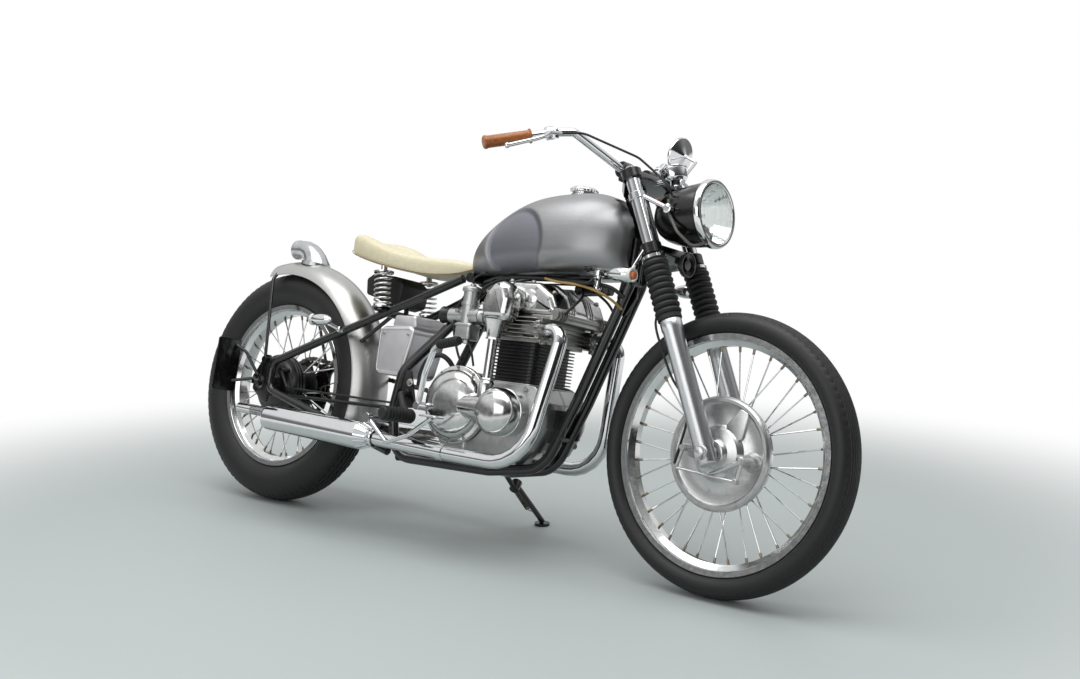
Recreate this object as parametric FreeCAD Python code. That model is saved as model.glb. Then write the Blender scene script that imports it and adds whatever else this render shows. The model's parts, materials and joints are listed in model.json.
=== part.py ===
import FreeCAD, Part
import math
import os

# A hardtail bobber motorcycle with an upright air-cooled parallel twin, leaning on its side stand.
# Everything is drawn on the upright, straight-steered bike: x forward, y to its left, z up, and
# x = 0 over the rear axle. The steered pieces are then turned, and all of it leans to the left.

vector = FreeCAD.Vector

# Stance
wheelbase = 1555.0
rakeDeg = 25.5
forkOffset = 57.0
leanDeg = 12.44
steerDeg = -3.1

# Wheels
frontTyreRadius = 340.0
frontTyreWidth = 85.0
frontCrownRadius = 60.0
frontBeadRadius = 276.0
rearTyreRadius = 353.0
rearTyreWidth = 120.0
rearCrownRadius = 90.0
rearBeadRadius = 239.0
rimFlangeHeight = 12.0
spokeRadius = 2.2
spokesPerWheel = 36
axleRadius = 9.0
axleThreadRadius = 8.0
axleThreadLength = 12.0

# Frame
downtubeRadius = 14.0
downtubeHalfGap = 26.0
backboneRadius = 20.0
headTubeRadius = 28.0
stayRadius = 12.0
stayHalfGap = 108.0

# Fork
forkHalfGap = 92.0
forkTubeRadius = 18.0
sliderRadius = 25.0
gaiterRadius = 29.0
stemRadius = 14.0
lowerYokeAlong = 506.0
lowerYokeHeight = 30.0
topYokeAlong = 716.0
topYokeHeight = 26.0

# Handlebar
barRadius = 11.0
gripRadius = 16.5
gripLength = 124.0

# Exhaust
headerRadius = 19.0
mufflerRadius = 36.0
exhaustHalfGap = 175.0

# Joints
steerLockDeg = 33.0
standFoldDeg = 85.0

# Clearances
seatGap = 0.3

rake = math.radians(rakeDeg)
lean = math.radians(leanDeg)
steer = math.radians(steerDeg)
up = vector(0, 0, 1)
left = vector(0, 1, 0)
ahead = vector(1, 0, 0)
steerAxis = vector(-math.sin(rake), 0, math.cos(rake))
forkAhead = vector(math.cos(rake), 0, math.sin(rake))


def axleHeight(tyreRadius, crownRadius):
    # A leaning tyre touches the floor beside its middle, on the round of its crown.
    return tyreRadius - crownRadius + crownRadius / math.cos(lean)


rearAxle = vector(0, 0, axleHeight(rearTyreRadius, rearCrownRadius))


def turned(point, centre, axis, angle):
    return FreeCAD.Rotation(axis, math.degrees(angle)).multVec(point - centre) + centre


def leaned(point):
    return FreeCAD.Rotation(ahead, -leanDeg).multVec(point)


def frontAxleAt(height):
    return vector(wheelbase, 0, height)


def contactDrop(height):
    # How far the steered, leaning front tyre's lowest point lies over the floor.
    axle = frontAxleAt(height)
    foot = axle - forkAhead * forkOffset
    centre = leaned(turned(axle, foot, steerAxis, steer))
    spin = leaned(turned(foot + left, foot, steerAxis, steer)) - leaned(foot)
    spin.normalize()
    ring = frontTyreRadius - frontCrownRadius
    return centre.z - ring * math.sqrt(1 - spin.z ** 2) - frontCrownRadius


frontAxleHeight = axleHeight(frontTyreRadius, frontCrownRadius)
frontAxleHeight -= contactDrop(frontAxleHeight) / math.cos(lean)
frontAxle = frontAxleAt(frontAxleHeight)
steerFoot = frontAxle - forkAhead * forkOffset


def fork(along, side, forward):
    # A point in the fork: along the steering axis from the axle's level, to the left, and forward.
    return steerFoot + steerAxis * along + left * side + forkAhead * forward


def mirrored(shape):
    return shape.mirror(vector(0, 0, 0), left)


def bothSides(shape):
    return fused([shape, mirrored(shape)])


def fused(shapes):
    body = shapes[0]
    if len(shapes) > 1:
        body = body.multiFuse(shapes[1:])
    return body.removeSplitter()


def group(shapes):
    return Part.makeCompound(shapes)


def rod(start, end, radius):
    return Part.makeCylinder(radius, (end - start).Length, start, end - start)


def cone(start, end, startRadius, endRadius):
    return Part.makeCone(startRadius, endRadius, (end - start).Length, start, end - start)


def ball(centre, radius):
    return Part.makeSphere(radius, centre)


def bentPath(points, bendRadius):
    # Straight runs joined by tangent arcs.
    edges = []
    start = points[0]
    for before, corner, after in zip(points, points[1:], points[2:]):
        back = (before - corner).normalize()
        on = (after - corner).normalize()
        half = back.getAngle(on) / 2
        reach = bendRadius / math.tan(half)
        inward = (back + on).normalize()
        middle = corner + inward * (bendRadius / math.sin(half) - bendRadius)
        edges.append(Part.makeLine(start, corner + back * reach))
        edges.append(Part.Arc(corner + back * reach, middle, corner + on * reach).toShape())
        start = corner + on * reach
    edges.append(Part.makeLine(start, points[-1]))
    return Part.Wire(edges)


def pipe(points, radius, bendRadius):
    path = bentPath(points, bendRadius)
    ring = Part.Wire([Part.Circle(points[0], points[1] - points[0], radius).toShape()])
    return path.makePipeShell([ring], True, False)


def face(points):
    return Part.Face(Part.makePolygon(points + [points[0]]))


def lathed(outline, base, axis):
    # Turns a closed outline of (radius, height) points about the axis, height measured from the base.
    section = face([vector(radius, 0, height) for radius, height in outline])
    solid = section.revolve(vector(0, 0, 0), up, 360)
    solid.Placement = FreeCAD.Placement(base, FreeCAD.Rotation(up, axis))
    return solid


def slab(outline, y, thickness):
    # A plate standing along the bike: outline of (x, z) points, from y towards the left.
    return face([vector(x, y, z) for x, z in outline]).extrude(left * thickness)


def roundedSlab(outline, y, thickness, cornerRadius):
    plate = slab(outline, y, thickness)
    corners = [edge for edge in plate.Edges if abs(edge.tangentAt(0).y) > 0.99]
    return plate.makeFillet(cornerRadius, corners)


def block(x, y, z, lengthX, lengthY, lengthZ):
    return Part.makeBox(lengthX, lengthY, lengthZ, vector(x, y, z))


def softBlock(x, y, z, lengthX, lengthY, lengthZ, cornerRadius):
    box = block(x, y, z, lengthX, lengthY, lengthZ)
    return box.makeFillet(cornerRadius, box.Edges)


# Wheels

tyreWall = 7.0
beadShare = 0.62
treadShare = 0.66


def tyreContour(tyreRadius, width, crownRadius, beadRadius, inset):
    # The outline from bead to bead over the tread, moved inwards by the inset: edges and both ends.
    beadHalf = width / 2 * beadShare - inset
    treadHalf = width / 2 * treadShare - inset * 0.6
    half = width / 2 - inset
    crown = tyreRadius - inset
    shoulder = crown - crownRadius + math.sqrt(crownRadius ** 2 - treadHalf ** 2)
    flange = beadRadius + rimFlangeHeight + 1
    widest = (beadRadius + tyreRadius) / 2
    nearBead = vector(beadHalf, 0, beadRadius)
    farBead = vector(-beadHalf, 0, beadRadius)
    edges = [Part.makeLine(nearBead, vector(beadHalf, 0, flange)),
             Part.Arc(vector(beadHalf, 0, flange), vector(half, 0, widest), vector(treadHalf, 0, shoulder)).toShape(),
             Part.Arc(vector(treadHalf, 0, shoulder), vector(0, 0, crown), vector(-treadHalf, 0, shoulder)).toShape(),
             Part.Arc(vector(-treadHalf, 0, shoulder), vector(-half, 0, widest), vector(-beadHalf, 0, flange)).toShape(),
             Part.makeLine(vector(-beadHalf, 0, flange), farBead)]
    return edges, nearBead, farBead


def tyre(centre, tyreRadius, width, crownRadius, beadRadius):
    outer, outerNear, outerFar = tyreContour(tyreRadius, width, crownRadius, beadRadius, 0)
    inner, innerNear, innerFar = tyreContour(tyreRadius, width, crownRadius, beadRadius, tyreWall)
    lips = [Part.makeLine(outerFar, innerFar), Part.makeLine(innerNear, outerNear)]
    section = Part.Face(Part.Wire(Part.__sortEdges__(outer + inner + lips)))
    solid = section.revolve(vector(0, 0, 0), ahead, 360)
    solid.Placement = FreeCAD.Placement(centre, FreeCAD.Rotation(ahead, left))
    return solid


def rim(centre, beadRadius, width):
    # An aluminium rim: two bead seats with upright flanges, and a deep well between them.
    beadHalf = width / 2 * 0.62
    seat = beadRadius - seatGap
    flange = beadRadius + rimFlangeHeight
    inside = beadHalf + seatGap
    outside = inside + 3.5
    wellHalf = beadHalf * 0.45
    well = beadRadius - 14
    outline = [(seat, -inside), (flange, -inside), (flange, -outside), (seat - 3.5, -outside),
               (well - 3.5, -wellHalf), (well - 3.5, wellHalf), (seat - 3.5, outside), (flange, outside),
               (flange, inside), (seat, inside), (seat, inside - 8), (well, wellHalf - 2),
               (well, -wellHalf + 2), (seat, -inside + 8)]
    return lathed(outline, centre, left)


def spokes(centre, rimRadius, hubRadius, hubHalf, reachDeg):
    made = []
    for index in range(spokesPerWheel):
        around = 2 * math.pi * index / spokesPerWheel
        sideSign = 1 if index % 2 else -1
        reachSign = 1 if (index // 2) % 2 else -1
        foot = around + reachSign * math.radians(reachDeg)
        rimEnd = centre + vector(math.cos(around) * rimRadius, 4.0 * sideSign, math.sin(around) * rimRadius)
        hubEnd = centre + vector(math.cos(foot) * hubRadius, hubHalf * sideSign, math.sin(foot) * hubRadius)
        made.append(rod(hubEnd, rimEnd, spokeRadius))
    return made


def frontHub(centre):
    outline = [(0, -20), (92, -20), (92, 22), (60, 26), (60, 40), (0, 40)]
    return lathed(outline, centre, left)


def rearHub(centre):
    outline = [(0, -45), (88, -45), (88, -20), (60, -14), (50, 40), (72, 44), (72, 52), (0, 52)]
    return lathed(outline, centre, left)


def boredForAxle(shape, centre):
    return shape.cut(rod(centre - left * 200, centre + left * 200, axleRadius + 0.05))


def frontWheel():
    parts = [rim(frontAxle, frontBeadRadius, frontTyreWidth), frontHub(frontAxle)]
    parts += spokes(frontAxle, frontBeadRadius - 17, 88, 18, 8)
    return boredForAxle(fused(parts), frontAxle)


sprocketRadius = 92.0
chainLine = 84.0


def rearWheel():
    parts = [rim(rearAxle, rearBeadRadius, rearTyreWidth), rearHub(rearAxle)]
    parts += spokes(rearAxle, rearBeadRadius - 17, 68, 30, 10)
    parts.append(lathed([(0, 51), (40, 51), (40, chainLine - 3), (sprocketRadius, chainLine - 3),
                         (sprocketRadius, chainLine + 3), (0, chainLine + 3)], rearAxle, left))
    return boredForAxle(fused(parts), rearAxle)


# Frame

headTubeLow = fork(lowerYokeAlong + lowerYokeHeight + 6, 0, 0)
headTubeHigh = fork(topYokeAlong - 6, 0, 0)
seatNode = vector(735, 0, 700)
downtubeTop = vector(1226, 18, 850)
downtubeNeck = vector(1232, downtubeHalfGap, 735)
downtubeFoot = vector(1040, downtubeHalfGap, 235)
cradleMiddle = vector(880, 50, 208)
cradleRear = vector(590, stayHalfGap, 205)
plateTop = vector(585, stayHalfGap, 460)
stayTop = vector(735, 62, 692)


def frame():
    head = rod(headTubeLow, headTubeHigh, headTubeRadius)
    backbone = rod(vector(1235, 0, 850), seatNode, backboneRadius)
    loops = []
    for side in (1, -1):
        path = [downtubeTop, downtubeNeck, vector(1118, downtubeHalfGap, 420), downtubeFoot, cradleMiddle,
                cradleRear, vector(560, stayHalfGap, 330), plateTop, stayTop]
        loops.append(pipe([vector(p.x, p.y * side, p.z) for p in path], downtubeRadius, 60))
    cross = rod(vector(seatNode.x, -62, 692), vector(seatNode.x, 62, 692), downtubeRadius)
    crossLow = rod(vector(620, -stayHalfGap, 205), vector(620, stayHalfGap, 205), downtubeRadius)
    gusset = slab([(1238, 830), (1240, 700), (1205, 640), (1180, 700), (1205, 850)], -4, 8)
    tie = rod(downtubeNeck, vector(downtubeNeck.x, -downtubeNeck.y, downtubeNeck.z), 10)
    standLug = rod(standPivot - standAxis * 20, standPivot - standAxis * 9.3, 14)
    standArm = rod(vector(standPivot.x, 64, 204), standPivot - standAxis * 15, 5)
    pin = rod(standPivot - standAxis * 14, standPivot + standAxis * 12, 5)
    body = fused([head, backbone, cross, crossLow, gusset, tie, standLug, standArm, pin] + loops)
    bore = rod(headTubeLow - steerAxis * 50, headTubeHigh + steerAxis * 50, stemRadius + 6)
    return body.cut(bore)


axlePlateHalfGap = 118.0
axleEndHalf = 150.0
axleEndRight = rearAxle - left * axleEndHalf


def hardtail():
    made = []
    for side in (1, -1):
        path = [vector(712, 69, 676), vector(60, axlePlateHalfGap, 368), vector(20, axlePlateHalfGap, 330),
                vector(75, axlePlateHalfGap, 292), vector(545, stayHalfGap, 245)]
        path = [vector(p.x, p.y * side, p.z) for p in path]
        made.append(pipe(path, stayRadius, 14))
        plateY = (axlePlateHalfGap - 4) * side - (0 if side > 0 else 8)
        made.append(roundedSlab([(-30, 330), (-30, 380), (20, 395), (70, 372), (60, 310), (20, 322)], plateY, 8, 6))
    shank = axleEndHalf - axleThreadLength
    made.append(rod(rearAxle - left * shank, rearAxle + left * shank, axleRadius))
    made.append(rod(axleEndRight, rearAxle + left * axleEndHalf, axleThreadRadius))
    for side in (1, -1):
        nut = rearAxle + left * (124 * side)
        made.append(rod(nut, nut + left * (12 * side), 15))
    return fused(made).cut(frame())


# Bodywork

tankFloor = 730.0


def tankSection(x, halfWidth, top, belly):
    points = []
    middle = tankFloor + belly
    for step in range(24):
        angle = 2 * math.pi * step / 24
        c, s = math.cos(angle), math.sin(angle)
        y = halfWidth * math.copysign(abs(c) ** 0.85, c)
        rise = (top - middle) if s > 0 else (middle - tankFloor + 14)
        z = middle + rise * math.copysign(abs(s) ** 0.85, s)
        points.append(vector(x, y, z))
    curve = Part.BSplineCurve()
    curve.interpolate(points, PeriodicFlag=True)
    return Part.Wire([curve.toShape()])


def tank():
    sections = [tankSection(698, 30, 770, 14), tankSection(730, 72, 850, 45), tankSection(800, 108, 895, 60),
                tankSection(900, 128, 940, 65), tankSection(1020, 136, 969, 65),
                tankSection(1120, 134, 972, 65), tankSection(1200, 118, 960, 65), tankSection(1270, 90, 930, 65)]
    body = Part.makeLoft([wire for wire in sections], True, False)
    body = body.cut(block(600, -200, tankFloor - 100, 800, 400, 100))
    nose = headTubeHigh - forkAhead * (headTubeRadius + 15)
    cutter = Part.makeBox(300, 400, 600, vector(0, -200, -400))
    cutter.Placement = FreeCAD.Placement(nose, FreeCAD.Rotation(left, -rakeDeg + 0.0))
    body = body.cut(cutter)
    tunnel = rod(vector(1300, 0, 871), vector(600, 0, 662.5), backboneRadius + 6)
    below = face([vector(1300, 0, 871), vector(600, 0, 662.5), vector(600, 0, 500), vector(1300, 0, 500)])
    channel = below.extrude(left * (backboneRadius + 6) * 2)
    channel.translate(left * -(backboneRadius + 6))
    neck = block(1170, -44, 600, 200, 88, 300)
    return body.cut(tunnel.fuse([channel, neck]))


def fillerCap():
    seat = vector(1030, 0, 966)
    cap = lathed([(0, -4), (22, -4), (22, 6), (29, 6), (29, 20), (25, 24), (0, 24)], seat, up)
    return cap.cut(tank())


def saddle():
    sections = []
    for x, half, top, sag in [(215, 70, 812, 6), (245, 112, 826, 10), (300, 125, 822, 12), (400, 118, 786, 12),
                              (520, 86, 762, 10), (620, 52, 758, 8), (688, 32, 757, 4)]:
        points = []
        for step in range(20):
            angle = 2 * math.pi * step / 20
            c, s = math.cos(angle), math.sin(angle)
            thick = 12 if s > 0 else 16
            points.append(vector(x, half * math.copysign(abs(c) ** 0.8, c), top - 14 + thick * s))
        curve = Part.BSplineCurve()
        curve.interpolate(points, PeriodicFlag=True)
        sections.append(Part.Wire([curve.toShape()]))
    return Part.makeLoft(sections, True, False)


def saddleSprings():
    made = []
    for side in (1, -1):
        made.append(rod(vector(432, 88 * side, 606), vector(414, 88 * side, 744), 17))
    return group(made)


def electricsTray():
    return softBlock(300, -62, 645, 180, 124, 80, 8)


def sideBox():
    return roundedSlab([(432, 545), (424, 440), (440, 421), (530, 421), (562, 500), (570, 562), (470, 562)], -68, 118, 6)


fenderRadius = 391.0
fenderHalf = 72.0
fenderSectionRadius = 78.0
fenderSheet = 2.5
fenderStartDeg = -22.0
fenderSpanDeg = 128.0


def fenderArc(sectionRadius, half):
    middle = fenderRadius - fenderSectionRadius
    edge = middle + math.sqrt(sectionRadius ** 2 - half ** 2)
    return vector(-half, 0, edge), vector(0, 0, middle + sectionRadius), vector(half, 0, edge)


def swept(section):
    # Turns a cross-section about the rear axle, from low in front to past the top.
    solid = section.revolve(vector(0, 0, 0), ahead, fenderSpanDeg)
    solid.Placement = FreeCAD.Placement(rearAxle, FreeCAD.Rotation(up, 90))
    solid.rotate(rearAxle, left, 90 - fenderSpanDeg - fenderStartDeg)
    return solid


def rearFender():
    outer = fenderArc(fenderSectionRadius, fenderHalf)
    inner = fenderArc(fenderSectionRadius - fenderSheet, fenderHalf - fenderSheet / 2)
    edges = [Part.Arc(*outer).toShape(), Part.makeLine(outer[2], inner[2]),
             Part.Arc(inner[2], inner[1], inner[0]).toShape(), Part.makeLine(inner[0], outer[0])]
    return swept(Part.Face(Part.Wire(edges)))


def fenderFilled():
    outer = fenderArc(fenderSectionRadius + seatGap, fenderHalf)
    low = [vector(fenderHalf, 0, 250), vector(-fenderHalf, 0, 250)]
    edges = [Part.Arc(*outer).toShape(), Part.makeLine(outer[2], low[0]), Part.makeLine(low[0], low[1]),
             Part.makeLine(low[1], outer[0])]
    return swept(Part.Face(Part.Wire(edges)))


def fenderStays():
    made = []
    for side in (1, -1):
        made.append(pipe([vector(5, 127 * side, 395), vector(-42, 88 * side, 712), vector(-52, 42 * side, 742),
                          vector(-54, 0, 750)], 5, 14))
    made.append(block(-75, -262, 316, 4, 125, 155))
    made.append(rod(vector(-71, -150, 385), vector(-12, -130, 370), 5))
    return group(made)


def tailLamp():
    return lathed([(0, -25), (36, -25), (36, 8), (26, 30), (18, 58), (8, 68), (0, 70)], vector(-4, 0, 750), up).cut(fenderFilled())


def rearIndicators():
    made = []
    for side in (1, -1):
        base = vector(262, 165 * side, 560)
        shell = lathed([(0, -32), (12, -20), (20, 0), (21, 26), (18, 38), (0, 40)], base, ahead * -1)
        stalk = rod(base + vector(0, 0, -15), vector(262, 118 * side, 480), 5)
        made.append(shell.fuse(stalk).cut(hardtail()))
    return group(made)


# Engine

def crankcase():
    main = [(820, 240), (980, 240), (1035, 290), (1064, 350), (1066, 405), (1040, 462), (868, 462), (820, 470)]
    gearbox = [(700, 310), (750, 250), (825, 240), (825, 480), (760, 475), (700, 410)]
    return fused([slab(main, -105, 210), slab(gearbox, -105, 175)])


def cylinderBlock():
    core = block(895, -105, 462, 150, 210, 96)
    fins = []
    for index in range(10):
        fins.append(softPlate(880, -128, 468 + index * 9.2, 180, 256, 2.5))
    return fused([core] + fins)


def softPlate(x, y, z, lengthX, lengthY, thickness):
    plate = block(x, y, z, lengthX, lengthY, thickness)
    corners = [edge for edge in plate.Edges if abs(edge.tangentAt(0).z) > 0.99]
    return plate.makeFillet(25, corners)


def cylinderHead():
    core = block(900, -115, 558 + seatGap * 0, 150, 230, 70)
    fins = [softPlate(880, -132, 566 + index * 10, 190, 264, 2.5) for index in range(6)]
    ports = [rod(vector(1040, 117 * side, 588), vector(1075, 122 * side, 588), 27) for side in (1, -1)]
    return fused([core] + fins + ports)


def rockerCover():
    return softBlock(890, -118, 628, 170, 236, 76, 22)


def bevelTower():
    foot = vector(960, -150, 420)
    head = vector(948, -150, 628)
    tube = rod(foot, head, 13)
    dome = lathed([(0, 0), (34, 0), (38, 20), (34, 48), (18, 64), (0, 68)], vector(930, -150, 622), up)
    return fused([tube, dome]).cut(rockerCover()).cut(cylinderHead())


def engineCovers():
    right = lathed([(0, 0), (112, 0), (110, 18), (84, 46), (0, 56)], vector(812, -105, 370), left * -1)
    bevel = lathed([(0, 0), (66, 0), (64, 40), (44, 76), (0, 84)], vector(1000, -105, 358), left * -1)
    leftCover = lathed([(0, 0), (112, 0), (108, 18), (80, 40), (0, 46)], vector(800, 105, 370), left)
    generator = lathed([(0, 0), (76, 0), (74, 34), (50, 56), (0, 60)], vector(990, 105, 358), left)
    return group([fused([right, bevel]), fused([leftCover, generator])])


def carburettors():
    made = []
    for side in (1, -1):
        made.append(rod(vector(775, 60 * side, 638), vector(880, 60 * side, 625), 30))
        made.append(rod(vector(790, 60 * side, 560), vector(790, 60 * side, 690), 24))
    return group([fused(made[:2]), fused(made[2:])])


mufflerFront = vector(575, exhaustHalfGap + 6, 246)
mufflerBack = vector(115, exhaustHalfGap + 6, 284)
mufflerInlet = 26.0


def toSide(points, side):
    return [vector(p.x, p.y * side, p.z) for p in points]


def exhaustPipes():
    way = (mufflerBack - mufflerFront).normalize()
    path = [vector(1076, 122, 588), vector(1128, 130, 592), vector(1128, exhaustHalfGap, 480),
            vector(1070, exhaustHalfGap, 238), vector(841, exhaustHalfGap + 3, 240), mufflerFront,
            mufflerFront + way * 45]
    made = [pipe(toSide(path, side), headerRadius, 26) for side in (1, -1)]
    return group([one.cut(cylinderHead()) for one in made])


def mufflers():
    length = (mufflerBack - mufflerFront).Length
    bore = headerRadius + 0.1
    outline = [(bore, 6), (mufflerInlet, 6), (mufflerInlet, 20), (mufflerRadius, 60), (mufflerRadius, length - 16),
               (24, length), (20, length), (20, length + 110), (16, length + 110), (16, length - 20), (0, length - 20),
               (0, 48), (bore, 48)]
    made = []
    for side in (1, -1):
        front, back = toSide([mufflerFront, mufflerBack], side)
        made.append(lathed(outline, front, back - front))
    return group(made)


# Controls on the frame

def footpegs():
    made = []
    for side in (1, -1):
        rubber = rod(vector(670, 190 * side, 328), vector(670, 290 * side, 328), 19)
        arm = rod(vector(570, 121 * side, 330), vector(674, 194 * side, 328), 9)
        made.append(rubber.fuse(arm))
    return group(made)


def footLevers():
    brake = pipe([vector(575, -205, 296), vector(640, -205, 262), vector(700, -215, 268), vector(800, -225, 333)], 6, 10)
    gear = pipe([vector(640, 205, 300), vector(720, 215, 300), vector(820, 225, 333)], 6, 10)
    kick = pipe([vector(715, -200, 344), vector(760, -200, 520), vector(850, -225, 544)], 8, 10)
    brakeShaft = rod(vector(575, -205, 296), vector(575, -120, 296), 8)
    gearShaft = rod(vector(720, 215, 300), vector(720, 118, 300), 8)
    kickShaft = rod(vector(715, -200, 344), vector(715, -118, 344), 9)
    levers = [brake.fuse(brakeShaft), gear.fuse(gearShaft), kick.fuse(kickShaft)]
    return group([lever.cut(engineCovers()).cut(frame()) for lever in levers])


def driveChain():
    sprocketFront = vector(735, chainLine, 330)
    outer = chainLoop(sprocketFront, 44 + 8, rearAxle + left * chainLine, sprocketRadius + 12)
    inner = chainLoop(sprocketFront, 44, rearAxle + left * chainLine, sprocketRadius + 3)
    return outer.cut(inner)


def chainLoop(front, frontRadius, back, backRadius):
    a = Part.makeCylinder(frontRadius, 8, front - left * 4, left)
    b = Part.makeCylinder(backRadius, 8, vector(back.x, front.y - 4, back.z), left)
    along = vector(front.x - back.x, 0, front.z - back.z)
    distance = along.Length
    along.normalize()
    tilt = math.asin((backRadius - frontRadius) / distance)
    normal = vector(-along.z, 0, along.x)
    points = []
    for sign in (1, -1):
        way = normal * math.cos(tilt) * sign + along * math.sin(tilt)
        points.append((vector(back.x, front.y - 4, back.z) + way * backRadius,
                       vector(front.x, front.y - 4, front.z) + way * frontRadius))
    quad = face([points[0][0], points[0][1], points[1][1], points[1][0]]).extrude(left * 8)
    return fused([a, b, quad])


def rearBrakePlate():
    plate = lathed([(axleRadius + 0.05, 0), (92, 0), (92, 10), (70, 22), (axleRadius + 0.05, 40)],
                   rearAxle - left * 47, left * -1)
    return plate


# Side stand

standPivot = vector(845, 122, 174)
standAxis = vector(-0.25, 0.66, 0.75).normalize()
standFootReach = 283.0
standLegRadius = 8.0


def sideStand():
    # The leg ends in a flat foot that lies on the floor, tilted against the leaning bike.
    floorUp = vector(0, -math.sin(lean), math.cos(lean))
    sole = vector(standPivot.x - 10, standFootReach, standFootReach * math.tan(lean))
    ankle = sole + floorUp * 12
    leg = rod(standPivot, ankle, standLegRadius)
    hub = rod(standPivot - standAxis * 9, standPivot + standAxis * 9, 15)
    bore = rod(standPivot - standAxis * 9, standPivot + standAxis * 9, 5.05)
    foot = rod(sole, sole + floorUp * 8, 22)
    return fused([leg, hub, foot]).cut(bore)


# Steered pieces

def forkYokes():
    made = []
    for along, height in ((lowerYokeAlong, lowerYokeHeight), (topYokeAlong, topYokeHeight)):
        made.append(rod(fork(along, 0, 0), fork(along + height, 0, 0), 30))
        for side in (1, -1):
            made.append(rod(fork(along, forkHalfGap * side, forkOffset), fork(along + height, forkHalfGap * side, forkOffset), 27))
        plate = Part.makeBox(60, 2 * forkHalfGap, height - 6, vector(0, -forkHalfGap, 0))
        plate.Placement = FreeCAD.Placement(fork(along + 3, 0, 10) , FreeCAD.Rotation(left, -rakeDeg))
        made.append(plate)
    made.append(rod(fork(lowerYokeAlong, 0, 0), fork(topYokeAlong + topYokeHeight + 12, 0, 0), stemRadius))
    body = fused(made)
    for side in (1, -1):
        body = body.cut(rod(fork(300, forkHalfGap * side, forkOffset), fork(900, forkHalfGap * side, forkOffset), forkTubeRadius))
    return body


def forkTubes():
    return group([rod(fork(300, forkHalfGap * side, forkOffset), fork(topYokeAlong + topYokeHeight + 4, forkHalfGap * side, forkOffset),
                      forkTubeRadius) for side in (1, -1)])


def forkGaiters():
    made = []
    for side in (1, -1):
        made.append(lathed([(forkTubeRadius + 0.3, 0), (gaiterRadius, 0), (gaiterRadius, 152), (forkTubeRadius + 0.3, 152)],
                           fork(334, forkHalfGap * side, forkOffset), steerAxis))
    return group(made)


def forkSliders():
    made = []
    for side in (1, -1):
        leg = rod(fork(-26, forkHalfGap * side, forkOffset), fork(331, forkHalfGap * side, forkOffset), sliderRadius)
        leg = leg.cut(rod(fork(280, forkHalfGap * side, forkOffset), fork(400, forkHalfGap * side, forkOffset), forkTubeRadius))
        made.append(leg)
    axle = rod(frontAxle - left * 125, frontAxle + left * 125, axleRadius)
    return fused(made + [axle])


barBend = vector(1100, 235, 1080)
barEnd = vector(992, 400, 1020)


def handlebar():
    half = [vector(1187, 60, 1022), vector(1127, 200, 1088), barBend, barEnd]
    path = [vector(p.x, -p.y, p.z) for p in reversed(half)] + half
    return pipe(path, barRadius, 22)


def grips():
    along = (barEnd - barBend).normalize()
    made = []
    for side in (1, -1):
        end = vector(barEnd.x, barEnd.y * side, barEnd.z)
        way = vector(along.x, along.y * side, along.z)
        sleeve = rod(end - way * gripLength, end + way * 3, gripRadius)
        made.append(sleeve.cut(rod(end - way * 200, end + way * 0.1, barRadius + 0.1)))
    return group(made)


def controlLevers():
    along = (barEnd - barBend).normalize()
    centre = barBend + along * 22
    made = []
    for side in (1, -1):
        middle, way = toSide([centre, along], side)
        ring = rod(middle - way * 12, middle + way * 12, 18)
        lever = pipe(toSide([centre + vector(14, 0, -2), vector(1150, 268, 1060), vector(1112, 390, 1008)], side), 5, 10)
        made.append(fused([ring, lever]).cut(rod(middle - way * 60, middle + way * 60, barRadius + 0.1)))
    return group(made)


lampCentre = vector(1447, 0, 921)


def headlampShell():
    return lathed([(0, 0), (30, 8), (60, 50), (76, 100), (82, 140), (82, 172), (72, 172), (72, 150), (0, 150)],
                  lampCentre - ahead * 172, ahead)


def headlampGlass():
    return lathed([(0, -20), (71, -20), (71, 0), (50, 6), (0, 10)], lampCentre, ahead)


def mirror():
    disc = lathed([(0, -8), (30, -6), (50, 0), (50, 6), (0, 6)], vector(1099, 300, 1146), vector(1, -0.2, 0.1))
    stem = pipe([vector(1105, 300, 1146), vector(1163, 300, 1122), vector(1098, 252, 1082)], 5, 10)
    return fused([disc, stem]).cut(controlLevers()).cut(handlebar())


def speedometer():
    dial = lathed([(0, 0), (34, 0), (36, 40), (30, 44), (0, 44)], vector(1325, 0, 1000), vector(-0.3, 0, 1))
    stalk = rod(fork(topYokeAlong + 12, 0, 40), vector(1322, 0, 1006), 7)
    return dial.fuse(stalk).cut(forkYokes())


def frontIndicators():
    made = []
    for side in (1, -1):
        base = vector(1280, 150 * side, 742)
        shell = lathed([(0, -42), (12, -30), (20, 0), (21, 26), (18, 38), (0, 40)], base, ahead)
        stalk = rod(base + vector(0, -14 * side, 0), vector(1330, 100 * side, 812), 4)
        made.append(shell.fuse(stalk).cut(forkYokes()).cut(forkTubes()))
    return group(made)


def frontBrakePlate():
    return lathed([(axleRadius + 0.05, 0), (137, 0), (137, 12), (110, 20), (60, 36), (axleRadius + 0.05, 40)],
                  frontAxle - left * 26, left * -1)


def controlCables():
    return pipe([vector(1122, -236, 1094), vector(1180, -150, 1110), vector(1262, -60, 1060), vector(1262, -50, 960)], 3, 30)


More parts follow.
